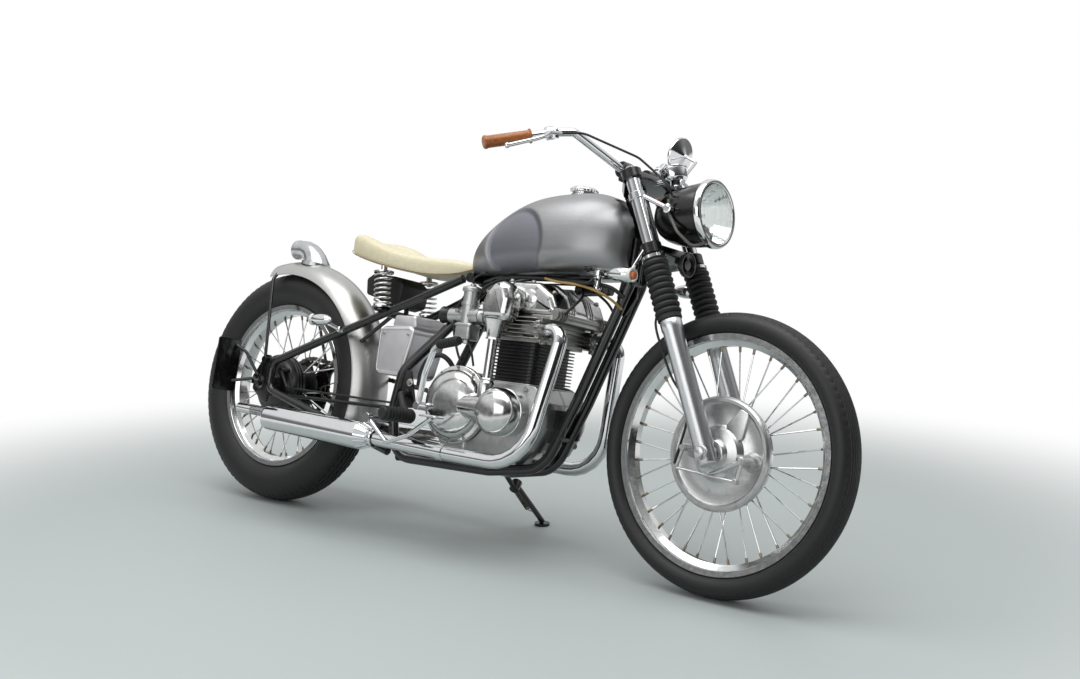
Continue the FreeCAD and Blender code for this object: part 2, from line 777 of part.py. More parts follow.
chassis = {
    "frame": frame, "hardtail": hardtail, "fuel_tank": tank, "filler_cap": fillerCap, "saddle": saddle,
    "saddle_springs": saddleSprings, "electrics_tray": electricsTray, "side_box": sideBox,
    "rear_fender": rearFender, "fender_stays": fenderStays, "tail_lamp": tailLamp,
    "rear_indicators": rearIndicators, "crankcase": crankcase, "cylinder_block": cylinderBlock,
    "cylinder_head": cylinderHead, "rocker_cover": rockerCover, "bevel_tower": bevelTower,
    "engine_covers": engineCovers, "carburettors": carburettors, "exhaust_pipes": exhaustPipes,
    "mufflers": mufflers, "footpegs": footpegs, "foot_levers": footLevers, "drive_chain": driveChain,
    "rear_brake_plate": rearBrakePlate,
}
rearWheelPieces = {
    "rear_tyre": lambda: tyre(rearAxle, rearTyreRadius, rearTyreWidth, rearCrownRadius, rearBeadRadius),
    "rear_wheel": rearWheel,
}
stand = {"side_stand": sideStand}
steering = {
    "fork_yokes": forkYokes, "fork_tubes": forkTubes, "fork_gaiters": forkGaiters, "fork_sliders": forkSliders,
    "handlebar": handlebar, "grips": grips, "control_levers": controlLevers, "headlamp_shell": headlampShell,
    "headlamp_glass": headlampGlass, "mirror": mirror, "speedometer": speedometer,
    "front_indicators": frontIndicators, "front_brake_plate": frontBrakePlate, "control_cables": controlCables,
}
frontWheelPieces = {
    "front_tyre": lambda: tyre(frontAxle, frontTyreRadius, frontTyreWidth, frontCrownRadius, frontBeadRadius),
    "front_wheel": frontWheel,
}


def built():
    made = {}
    for pieces in (chassis, rearWheelPieces, stand, steering, frontWheelPieces):
        steered = pieces in (steering, frontWheelPieces)
        for name, make in pieces.items():
            shape = make()
            if steered:
                shape.rotate(steerFoot, steerAxis, steerDeg)
            shape.rotate(vector(0, 0, 0), ahead, -leanDeg)
            made[name] = shape
    return made


def middleOffset(shapes):
    # Brings the origin under the middle of the bounding box; the floor is already at z = 0.
    box = FreeCAD.BoundBox()
    for shape in shapes.values():
        box.add(shape.optimalBoundingBox(False))
    print("overall", round(box.XLength), round(box.YLength), round(box.ZLength), "lowest", round(box.ZMin, 3))
    return vector(-(box.XMin + box.XMax) / 2, -(box.YMin + box.YMax) / 2, 0)


os.makedirs("parts", exist_ok=True)
pieces = built()
rowOffset = middleOffset(pieces)
for name, shape in pieces.items():
    shape.translate(rowOffset)
    shape.exportStep("parts/" + name + ".step")
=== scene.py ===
import bmesh
import bpy
import json
import math
from mathutils import Matrix, Vector


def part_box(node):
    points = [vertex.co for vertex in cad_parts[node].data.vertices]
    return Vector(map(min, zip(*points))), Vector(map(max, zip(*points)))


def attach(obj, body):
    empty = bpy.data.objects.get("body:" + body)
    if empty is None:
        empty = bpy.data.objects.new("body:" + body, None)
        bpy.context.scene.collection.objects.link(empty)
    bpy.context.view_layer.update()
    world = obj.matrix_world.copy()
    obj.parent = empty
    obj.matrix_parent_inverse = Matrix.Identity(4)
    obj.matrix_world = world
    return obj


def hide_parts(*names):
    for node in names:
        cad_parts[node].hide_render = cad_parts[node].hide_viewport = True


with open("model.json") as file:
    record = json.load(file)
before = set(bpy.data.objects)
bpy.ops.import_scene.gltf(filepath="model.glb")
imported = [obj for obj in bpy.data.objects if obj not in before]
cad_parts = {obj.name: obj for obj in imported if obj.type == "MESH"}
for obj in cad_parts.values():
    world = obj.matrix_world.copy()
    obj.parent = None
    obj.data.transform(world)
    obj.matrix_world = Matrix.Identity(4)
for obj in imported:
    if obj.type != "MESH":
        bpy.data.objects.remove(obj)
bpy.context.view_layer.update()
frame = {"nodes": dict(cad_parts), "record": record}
print("frame loaded:", len(frame["nodes"]), "nodes")


def hexColour(code):
    # sRGB hex to the linear colour that a shader socket takes
    parts = [int(code[i:i + 2], 16) / 255 for i in (1, 3, 5)]
    return tuple(c / 12.92 if c <= 0.04045 else ((c + 0.055) / 1.055) ** 2.4 for c in parts) + (1.0,)


def nodeBox(name):
    low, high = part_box(name)
    return Vector(low), Vector(high)


def nodeMiddle(name):
    low, high = nodeBox(name)
    return (low + high) / 2


# Camera: measured from the photograph, as an offset from the middle of the rear tyre
view = {
    "fromRearTyre": (3.03574, -2.63534, 0.58345),  # metres
    "yawDeg": 37.87,  # turned left of straight ahead
    "pitchDeg": -6.217,
    "rollDeg": 0.569,
    "focalPixels": 1276.276,
    "picturePixels": 1080,
    "sensorMm": 36,
}


def makeCamera():
    yaw = math.radians(view["yawDeg"])
    pitch = math.radians(view["pitchDeg"])
    roll = math.radians(view["rollDeg"])
    ahead = Vector((-math.sin(yaw) * math.cos(pitch), math.cos(yaw) * math.cos(pitch), math.sin(pitch)))
    right = Vector((math.cos(yaw), math.sin(yaw), 0))
    up = right.cross(ahead)
    right, up = math.cos(roll) * right + math.sin(roll) * up, math.cos(roll) * up - math.sin(roll) * right
    lens = bpy.data.cameras.new("photoCamera")
    lens.sensor_width = view["sensorMm"]
    lens.lens = view["focalPixels"] / view["picturePixels"] * view["sensorMm"]
    lens.clip_end = 60
    camera = bpy.data.objects.new("photoCamera", lens)
    bpy.context.scene.collection.objects.link(camera)
    turn = Matrix((right, up, -ahead)).transposed().to_4x4()
    camera.matrix_world = Matrix.Translation(nodeMiddle("rear_tyre") + Vector(view["fromRearTyre"])) @ turn
    bpy.context.scene.camera = camera


makeCamera()
print("camera set")


# Stance: where the upright bike's own millimetres, x forward and z up, lie in the frame
stance = {
    "leanDeg": 12.44,
    "steerDeg": -3.1,
    "rakeDeg": 25.5,
    "rearAxle": (0.0, 0.0, 355.164),
    "frontAxle": (1555.0, 0.0, 342.175),
    "forkFoot": (1503.553, 0.0, 317.636),  # on the steering axis, level with the axle
    "crank": (965.0, 0.0, 365.975),
}
stancePoints = ("crank", "frontAxle", "rearAxle", "forkFoot")
crank, frontAxle, rearAxle, forkFoot = (Vector(stance[key]) for key in stancePoints)
millimetre = 0.001
rake = math.radians(stance["rakeDeg"])
steerAxis = Vector((-math.sin(rake), 0, math.cos(rake)))
forkAhead = Vector((math.cos(rake), 0, math.sin(rake)))
sideways = Vector((0, 1, 0))
upward = Vector((0, 0, 1))
ahead = Vector((1, 0, 0))


def placing(steered):
    turn = Matrix.Identity(4)
    if steered:
        steer = math.radians(stance["steerDeg"])
        turn = Matrix.Translation(forkFoot) @ Matrix.Rotation(steer, 4, steerAxis)
        turn = turn @ Matrix.Translation(-forkFoot)
    lean = Matrix.Rotation(math.radians(-stance["leanDeg"]), 4, "X")
    shift = nodeMiddle("rear_tyre") / millimetre - lean @ rearAxle
    return Matrix.Scale(millimetre, 4) @ Matrix.Translation(shift) @ lean @ turn


onChassis = placing(False)
onFork = placing(True)


def at(x, y, z):
    return crank + Vector((x, y, z))


def rear(x, y, z):
    return rearAxle + Vector((x, y, z))


def fork(along, side, forward):
    return forkFoot + steerAxis * along + sideways * side + forkAhead * forward


def mirrored(point, side):
    return Vector((point.x, point.y * side, point.z))


# Mesh helpers: every piece is drawn in the upright bike's millimetres, then placed

def acrossOf(axis):
    axis = axis.normalized()
    helper = upward if abs(axis.z) < 0.9 else ahead
    first = axis.cross(helper).normalized()
    return axis, first, axis.cross(first)


def addLathe(bm, outline, base, axis, segments=32):
    # outline holds (radius, height) pairs; a radius of 0 closes the form to a point
    axis, first, second = acrossOf(axis)
    rings = []
    for radius, height in outline:
        middle = base + axis * height
        if radius < 1e-6:
            rings.append([bm.verts.new(middle)])
            continue
        ring = []
        for step in range(segments):
            angle = 2 * math.pi * step / segments
            ring.append(bm.verts.new(middle + first * (radius * math.cos(angle))
                                    + second * (radius * math.sin(angle))))
        rings.append(ring)
    for low, high in zip(rings, rings[1:]):
        for step in range(segments):
            after = (step + 1) % segments
            if len(low) == 1 and len(high) > 1:
                bm.faces.new((low[0], high[after], high[step]))
            elif len(high) == 1 and len(low) > 1:
                bm.faces.new((low[step], low[after], high[0]))
            elif len(low) > 1:
                bm.faces.new((low[step], low[after], high[after], high[step]))


def joinRings(bm, rings, loop=False, capped=True):
    # four-sided faces from each ring of vertices to the next
    count = len(rings[0])
    for low, high in zip(rings, rings[1:] + (rings[:1] if loop else [])):
        for k in range(count):
            after = (k + 1) % count
            bm.faces.new((low[k], low[after], high[after], high[k]))
    if capped:
        bm.faces.new(rings[0][::-1])
        bm.faces.new(rings[-1])


def addRod(bm, start, end, radius, segments=20, edge=0.6):
    length = (end - start).length
    outline = [(0, 0), (radius - edge, 0), (radius, edge), (radius, length - edge), (radius - edge, length),
               (0, length)]
    addLathe(bm, outline, start, end - start, segments)


def addScrew(bm, seat, axis, head):
    # a cross-slotted pan head
    addLathe(bm, [(0, -0.5), (head, -0.5), (head, head * 0.35), (head * 0.82, head * 0.6),
                  (head * 0.4, head * 0.66), (head * 0.3, head * 0.3), (0, head * 0.3)], seat, axis, 20)


def addBolt(bm, seat, axis, across, height, washer=True):
    # a hexagon head on its washer, with a turned chamfer
    if washer:
        addLathe(bm, [(0, -0.4), (across * 0.82, -0.4), (across * 0.82, 1.2), (across * 0.78, 1.6),
                      (0, 1.6)], seat, axis, 24)
    addLathe(bm, [(0, 0), (across * 0.577, 1), (across * 0.577, height - 1), (across * 0.48, height),
                  (0, height)], seat, axis, 6)


def smoothLine(points, steps=10):
    # a smooth line through the points
    line = []
    padded = [points[0] * 2 - points[1]] + list(points) + [points[-1] * 2 - points[-2]]
    for a, b, c, d in zip(padded, padded[1:], padded[2:], padded[3:]):
        for step in range(steps):
            t = step / steps
            line.append(0.5 * (2 * b + (c - a) * t
                               + (2 * a - 5 * b + 4 * c - d) * t ** 2 + (3 * b - a - 3 * c + d) * t ** 3))
    line.append(points[-1].copy())
    return line


def addTube(bm, line, radius, segments=12, closed=False):
    # a round tube along the line, carried round without twisting
    count = len(line)
    rings = []
    side = None
    for index, point in enumerate(line):
        before = line[index - 1] if index or closed else point
        following = line[(index + 1) % count] if index < count - 1 or closed else point
        way = (following - before).normalized()
        if side is None:
            side = acrossOf(way)[1]
        side = (side - way * side.dot(way)).normalized()
        other = way.cross(side)
        wide = radius(index / (count - 1)) if callable(radius) else radius
        rings.append([bm.verts.new(point + side * (wide * math.cos(a)) + other * (wide * math.sin(a)))
                      for a in (2 * math.pi * step / segments for step in range(segments))])
    joinRings(bm, rings, closed, not closed)


def helix(start, end, radius, turns, perTurn=20):
    axis, first, second = acrossOf(end - start)
    steps = int(turns * perTurn)
    return [start + (end - start) * (step / steps)
            + first * (radius * math.cos(2 * math.pi * step / perTurn))
            + second * (radius * math.sin(2 * math.pi * step / perTurn)) for step in range(steps + 1)]


def makePiece(name, bm, place, body, material, replaced=(), sharpDeg=38):
    bmesh.ops.recalc_face_normals(bm, faces=bm.faces)
    bm.transform(place)
    mesh = bpy.data.meshes.new(name)
    bm.to_mesh(mesh)
    bm.free()
    return finishPiece(name, mesh, body, material, replaced, sharpDeg)


def finishPiece(name, mesh, body, material, replaced=(), sharpDeg=38):
    mesh.polygons.foreach_set("use_smooth", [True] * len(mesh.polygons))
    mesh.set_sharp_from_angle(angle=math.radians(sharpDeg))
    mesh.materials.clear()
    mesh.materials.append(material)
    piece = bpy.data.objects.new(name, mesh)
    bpy.context.scene.collection.objects.link(piece)
    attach(piece, body)
    if replaced:
        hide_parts(*replaced)
    return piece


def toSide(points, side):
    return [mirrored(point, side) for point in points]


def bentLine(points, bends, steps=6):
    # straight runs joined by round bends, with one radius for each inner corner
    bends = list(bends) if len(bends) == len(points) - 2 else [bends[0]] * (len(points) - 2)
    line = [points[0].copy()]
    for before, corner, after, bend in zip(points, points[1:], points[2:], bends):
        back = (before - corner).normalized()
        on = (after - corner).normalized()
        half = back.angle(on) / 2
        reach = bend / math.tan(half)
        centre = corner + (back + on).normalized() * (bend / math.sin(half))
        first = corner + back * reach - centre
        last = corner + on * reach - centre
        for step in range(steps + 1):
            line.append(centre + first.lerp(last, step / steps).normalized() * bend)
    line.append(points[-1].copy())
    return line


def addPipe(bm, points, radius, *bends, segments=16):
    addTube(bm, bentLine(points, bends), radius, segments)


def addCone(bm, start, end, startRadius, endRadius, segments=28):
    length = (end - start).length
    addLathe(bm, [(0, 0), (startRadius, 0), (endRadius, length), (0, length)], start, end - start, segments)


def addBall(bm, centre, radius):
    arc = [(radius * math.sin(math.pi * k / 8), -radius * math.cos(math.pi * k / 8)) for k in range(9)]
    addLathe(bm, arc, centre, upward, 16)


def addRing(bm, outline, base, axis, segments=48):
    # a turned form with a bore: the outline closes on itself
    addLathe(bm, outline + outline[:1], base, axis, segments)


def roundedOutline(points, corner, steps=4):
    points = [Vector(point) for point in points]
    if corner <= 0:
        return points
    ring = []
    for before, here, after in zip(points[-1:] + points[:-1], points, points[1:] + points[:1]):
        back, on = before - here, after - here
        half = back.angle(on) / 2
        if half > 1.5:
            ring.append(here)
            continue
        reach = min(corner / math.tan(half), back.length * 0.48, on.length * 0.48)
        bend = reach * math.tan(half)
        centre = here + (back.normalized() + on.normalized()).normalized() * (bend / math.sin(half))
        first = here + back.normalized() * reach - centre
        last = here + on.normalized() * reach - centre
        ring += [centre + first.lerp(last, step / steps).normalized() * bend for step in range(steps + 1)]
    return ring


def sideOf(base):
    # for plates that stand along the bike: outline in x and z, thickness to the left
    return lambda u, v, w: base + Vector((u, w, v))


onCrank = sideOf(crank)
onMidPlane = sideOf(Vector())


def levelOn(base):
    # for level plates: outline in x and y, thickness upwards
    return lambda u, v, w: base + Vector((u, v, w))


def addPlate(bm, placeOf, outline, start, thickness, corner=0, soft=0.0, steps=3):
    # a plate with rounded corners; soft is the rounding along the edges of both faces
    ring = roundedOutline(outline, corner)
    count = len(ring)
    turn = 1 if sum(a.x * b.y - b.x * a.y for a, b in zip(ring, ring[1:] + ring[:1])) > 0 else -1
    inward = []
    for k in range(count):
        way = (ring[(k + 1) % count] - ring[k - 1]).normalized()
        inward.append(Vector((-way.y, way.x)) * turn)
    angles = [math.pi / 2 * step / steps for step in range(steps + 1)] if soft else [math.pi / 2]
    edge = [(soft * (1 - math.cos(a)), soft * (1 - math.sin(a))) for a in angles]
    levels = [(start + rise, inset) for rise, inset in edge]
    levels += [(start + thickness - rise, inset) for rise, inset in reversed(edge)]
    rows = [[bm.verts.new(placeOf(p.x + n.x * inset, p.y + n.y * inset, height))
             for p, n in zip(ring, inward)] for height, inset in levels]
    joinRings(bm, rows)


def addBlock(bm, low, high, corner=0, soft=0.0):
    size = high - low
    addPlate(bm, levelOn(low), [(0, 0), (size.x, 0), (size.x, size.y), (0, size.y)], 0, size.z,
             corner, soft)


slotOf = {piece["node"]: piece["material_slot"] for piece in frame["record"]["subparts"]}
bodyOf = {node: body for body, nodes in frame["record"]["behaviour"]["bodies"].items() for node in nodes}


def drawInPlaceOf(node, draw, sharpDeg=38):
    # a piece drawn in full where a plainer solid stands
    bm = bmesh.new()
    draw(bm)
    bmesh.ops.remove_doubles(bm, verts=bm.verts, dist=0.01)
    place = onFork if bodyOf[node] in ("steering_assembly", "front_wheel_set") else onChassis
    material = frame["nodes"][node].data.materials[0]
    makePiece(node + "_form", bm, place, bodyOf[node], material, (node,), sharpDeg)


def feed(tree, socket, value):
    # a plain value, or the output that a (node, output) pair names
    if isinstance(value, tuple) and isinstance(value[0], bpy.types.Node):
        tree.links.new(value[0].outputs[value[1]], socket)
    else:
        socket.default_value = value


def addNode(tree, kind, settings=None, inputs=()):
    # one node, its settings by attribute and its inputs by name or in their order
    node = tree.nodes.new(kind)
    for key, value in (settings or {}).items():
        setattr(node, key, value)
    for key, value in inputs.items() if isinstance(inputs, dict) else enumerate(inputs):
        feed(tree, node.inputs[key], value)
    return node


# Materials: each from one look, with grain, stains and regions worked out from real sizes
smoothStep = {"interpolation_type": "SMOOTHSTEP"}
channels = {  # the shader's socket, the mix node's kind, first input and output
    "colour": ("Base Color", "RGBA", 6, 2),
    "metallic": ("Metallic", "FLOAT", 2, 0),
    "roughness": ("Roughness", "FLOAT", 2, 0)}


def noiseOf(tree, coords, grainMm, detail, stretch=(1, 1, 1)):
    # a noise whose features are about grainMm wide
    scale = [1 / (grainMm * millimetre) / s for s in stretch]
    mapping = addNode(tree, "ShaderNodeMapping", {}, {"Vector": (coords, "Object"), "Scale": scale})
    return addNode(tree, "ShaderNodeTexNoise", {},
                   {"Vector": (mapping, "Vector"), "Scale": 1.0, "Detail": detail, "Roughness": 0.55})


def regionMask(tree, coords, tests, softMm=0.6):
    # 1 inside every test; a test is (kind, middle, axis, low, high, place), in the upright bike's millimetres
    total = None
    for kind, middle, axis, low, high, place in tests:
        centre = place @ middle
        way = (place.to_3x3() @ axis).normalized()
        offset = addNode(tree, "ShaderNodeVectorMath", {"operation": "SUBTRACT"},
                         [(coords, "Object"), centre])
        if kind == "radial":
            crossed = addNode(tree, "ShaderNodeVectorMath", {"operation": "CROSS_PRODUCT"},
                              [(offset, "Vector"), way])
            reach = addNode(tree, "ShaderNodeVectorMath", {"operation": "LENGTH"}, [(crossed, "Vector")])
        else:
            reach = addNode(tree, "ShaderNodeVectorMath", {"operation": "DOT_PRODUCT"},
                            [(offset, "Vector"), way])
        for limit, inside in ((low, 1), (high, 0)):
            if limit is None:
                continue
            near = (limit - softMm) * millimetre
            far = (limit + softMm) * millimetre
            levels = [(reach, "Value"), near, far, 1 - inside, inside]
            step = addNode(tree, "ShaderNodeMapRange", {}, levels)
            if total is None:
                total = step, "Result"
            else:
                both = addNode(tree, "ShaderNodeMath", {"operation": "MULTIPLY"}, [total, (step, "Result")])
                total = both, "Value"
    return total


def layOver(tree, surface, share, layer):
    # a stain or a region over what lies below it
    for key, (socket, kind, first, output) in channels.items():
        if layer.get(key) is not None:
            value = hexColour(layer[key]) if key == "colour" else layer[key]
            mix = addNode(tree, "ShaderNodeMix", {"data_type": kind},
                          {0: share, first: surface[key], first + 1: value})
            surface[key] = mix, output


def stain(sizeMm, low, high, share, colour, roughness=None):
    # patches of about sizeMm, fading in between two levels of their noise
    return {"sizeMm": sizeMm, "low": low, "high": high, "share": share, "colour": colour,
            "roughness": roughness}


def newMaterial(name, look):
    material = bpy.data.materials.new(name)
    material.use_nodes = True
    tree = material.node_tree
    shader = tree.nodes["Principled BSDF"]
    coords = addNode(tree, "ShaderNodeTexCoord")
    for key, value in look.get("shader", {}).items():
        shader.inputs[key].default_value = value
    grain = noiseOf(tree, coords, look["grainMm"], 3.0, look.get("stretch", (1, 1, 1)))
    spread = addNode(tree, "ShaderNodeMapRange", {}, [(grain, "Fac"), 0.3, 0.7, 0, 1])
    rough = addNode(tree, "ShaderNodeMapRange", {}, [(grain, "Fac"), 0.3, 0.7, *look["roughness"]])
    surface = {"colour": hexColour(look["colour"]), "metallic": look["metallic"],
               "roughness": (rough, "Result")}
    layOver(tree, surface, (spread, "Result"), {"colour": look["tint"]})
    for spot in look.get("stains", []):
        patches = noiseOf(tree, coords, spot["sizeMm"], 4.0)
        levels = [(patches, "Fac"), spot["low"], spot["high"], 0, spot["share"]]
        patch = addNode(tree, "ShaderNodeMapRange", smoothStep, levels)
        layOver(tree, surface, (patch, "Result"), spot)
    for region in look.get("regions", []):
        layOver(tree, surface, regionMask(tree, coords, region["tests"]), region)
    for key, (socket, kind, first, output) in channels.items():
        feed(tree, shader.inputs[socket], surface[key])
    height = grain, "Fac"
    if "cellsMm" in look:
        scale = [1 / (look["cellsMm"] * millimetre)] * 3
        mapping = addNode(tree, "ShaderNodeMapping", {}, {"Vector": (coords, "Object"), "Scale": scale})
        cells = addNode(tree, "ShaderNodeTexVoronoi", {"feature": "SMOOTH_F1"},
                        {"Vector": (mapping, "Vector"), "Scale": 1.0})
        height = cells, "Distance"
    bump = addNode(tree, "ShaderNodeBump", {}, {
        "Strength": look.get("bump", 0.5), "Distance": look["reliefMm"] * millimetre, "Height": height})
    feed(tree, shader.inputs["Normal"], (bump, "Normal"))
    return material


lampTilt = math.radians(6)
lamp = {"centre": Vector((1446.961, 0, 921.055)),
        "axis": Vector((math.cos(lampTilt), 0, math.sin(lampTilt)))}

looks = {
    # stove-baked frame enamel: deep black, a wet highlight and a trace of orange peel
    "black_frame_paint": ("gloss black frame enamel", {
        "colour": "#08080a", "tint": "#0e0e10", "metallic": 0.0, "roughness": (0.16, 0.28),
        "grainMm": 4, "reliefMm": 0.03, "shader": {"Coat Weight": 0.4, "Coat Roughness": 0.12},
        "stains": [stain(70, 0.52, 0.75, 0.35, "#1b1b1c", 0.42)]}),
    # bare steel rubbed down by hand and lacquered: soft grey with a cloudy, directional sheen, and painted
    # shade over each knee recess
    "bare_tank_steel": ("rubbed bare steel", {
        "colour": "#8e8f91", "tint": "#9a9a9b", "metallic": 1.0, "roughness": (0.38, 0.46), "grainMm": 0.9,
        "stretch": (22, 1, 1), "reliefMm": 0.02, "shader": {"Coat Weight": 0.25, "Coat Roughness": 0.25},
        "stains": [stain(150, 0.45, 0.75, 0.4, "#7d7b7b", 0.48),
                   stain(30, 0.6, 0.8, 0.2, "#b2b0ac")],
        "regions": [{"tests": [("along", at(200, -74, 396), upward, None, 0, onChassis),
                               ("radial", at(200, -74, 396), upward, None, 40, onChassis)],
                     "colour": "#c9cac8", "metallic": 1.0, "roughness": 0.15},
                    # the knee recesses: painted shade, a darker and bluer grey laid over each pressed recess
                    {"tests": [("radial", at(-60, 0, 446), sideways, None, 101, onChassis)],
                     "colour": "#808188", "metallic": 1.0, "roughness": 0.5}]}),
    # bright chrome over polished steel: near-mirror, with faint haze
    "chromed_steel": ("polished chrome plate", {
        "colour": "#d3d5d7", "tint": "#dadbdc", "metallic": 1.0, "roughness": (0.05, 0.08),
        "grainMm": 25, "reliefMm": 0.01,
        "stains": [stain(45, 0.6, 0.8, 0.15, "#c6c4c0", 0.1)]}),
    # cream hide over foam: fine pebbled grain, a little darker where it is handled
    "cream_leather": ("cream hide", {
        "colour": "#d6cfb3", "tint": "#cdc5a6", "metallic": 0.0, "roughness": (0.42, 0.56), "grainMm": 9,
        "reliefMm": 0.35, "cellsMm": 1.5, "bump": 0.45, "shader": {"Specular IOR Level": 0.45},
        "stains": [stain(75, 0.5, 0.75, 0.35, "#bdb393", 0.5)]}),
    # bright plated spring wire
    "spring_steel": ("plated spring wire", {
        "colour": "#cfcfcd", "tint": "#dcdcda", "metallic": 1.0, "roughness": (0.12, 0.22),
        "grainMm": 6, "reliefMm": 0.02}),
    # folded sheet under the saddle, wrinkle-black and matt
    "black_plastic": ("wrinkle black sheet", {
        "colour": "#0d0d0e", "tint": "#151516", "metallic": 0.0, "roughness": (0.42, 0.6),
        "grainMm": 1.2, "reliefMm": 0.12}),
    # beaten and brushed sheet: a satin grey with long soft streaks
    "silver_paint": ("brushed fender sheet", {
        "colour": "#b0b0af", "tint": "#bcbcba", "metallic": 1.0, "roughness": (0.28, 0.38), "grainMm": 1.0,
        "stretch": (1, 18, 1), "reliefMm": 0.02, "shader": {"Coat Weight": 0.2, "Coat Roughness": 0.3},
        "stains": [stain(110, 0.45, 0.75, 0.3, "#969593", 0.42)]}),
    # sand-cast aluminium: grainy, matt and greyed in its corners
    "cast_aluminium": ("sand-cast aluminium", {
        "colour": "#b0b1b1", "tint": "#bebfbe", "metallic": 1.0, "roughness": (0.3, 0.44),
        "grainMm": 1.4, "reliefMm": 0.1,
        "stains": [stain(26, 0.5, 0.74, 0.4, "#807e7a", 0.52)]}),
    # buffed aluminium covers: bright, with a cloudy bloom
    "polished_aluminium": ("buffed aluminium", {
        "colour": "#c3c4c3", "tint": "#d3d4d3", "metallic": 1.0, "roughness": (0.13, 0.23),
        "grainMm": 12, "reliefMm": 0.03,
        "stains": [stain(60, 0.5, 0.8, 0.15, "#b3b1ae", 0.22)]}),
    # heat-proof engine paint: satin black, a little dusty on its fins
    "black_cylinder_paint": ("satin black engine paint", {
        "colour": "#0b0b0c", "tint": "#121213", "metallic": 0.0, "roughness": (0.28, 0.42),
        "grainMm": 2, "reliefMm": 0.05,
        "stains": [stain(30, 0.55, 0.8, 0.35, "#242322", 0.55)]}),
    # moulded rubber: dull black with a grey bloom
    "black_rubber": ("moulded rubber", {
        "colour": "#101011", "tint": "#17171a", "metallic": 0.0, "roughness": (0.5, 0.68),
        "grainMm": 2, "reliefMm": 0.06,
        "stains": [stain(22, 0.55, 0.8, 0.4, "#252526", 0.75)]}),
    # tyre compound: charcoal, dusty on the walls
    "tyre_rubber": ("tyre compound", {
        "colour": "#0d0d0f", "tint": "#131315", "metallic": 0.0, "roughness": (0.45, 0.62),
        "grainMm": 2.5, "reliefMm": 0.05,
        "stains": [stain(60, 0.5, 0.78, 0.35, "#1d1c1c", 0.7)]}),
    # saddle-tan grip leather, waxed and darker at its ends
    "brown_leather": ("waxed tan leather", {
        "colour": "#a5642f", "tint": "#935325", "metallic": 0.0, "roughness": (0.3, 0.42),
        "grainMm": 7, "reliefMm": 0.1,
        "stains": [stain(20, 0.5, 0.75, 0.4, "#6f3a17", 0.35)]}),
    # oiled roller chain: dark steel with bright rubbed edges
    "chain_steel": ("oiled chain steel", {
        "colour": "#5c5751", "tint": "#847d74", "metallic": 1.0, "roughness": (0.28, 0.45),
        "grainMm": 5, "reliefMm": 0.05,
        "stains": [stain(14, 0.5, 0.72, 0.6, "#2c2722", 0.5)]}),
}
made = {slot: newMaterial(name, look) for slot, (name, look) in looks.items()}


def variantOf(slot, name, **changes):
    # a slot's look with some of its values changed for one node
    look = dict(looks[slot][1])
    look.update(changes)
    return newMaterial(name, look)


paintedBlack = {"colour": "#0c0c0d", "metallic": 0.0, "roughness": 0.3}
chromed = {"colour": "#e0e1e1", "metallic": 1.0, "roughness": 0.08}
clearLens = {"colour": "#d9dbd6", "metallic": 0.0, "roughness": 0.06}
hornGrey = {"colour": "#2a2a2b", "metallic": 0.2, "roughness": 0.35}


def lensTests(tail, tip, place):
    return [("along", tail, tip - tail, None, 11, place), ("radial", tail, tip - tail, None, 30, place)]


def indicatorLook(name, tails, tips, place):
    # plated shells with a clear lens at each open end
    regions = [dict(clearLens, tests=lensTests(tail, tip, place)) for tail, tip in zip(tails, tips)]
    return variantOf("chromed_steel", name, regions=regions)


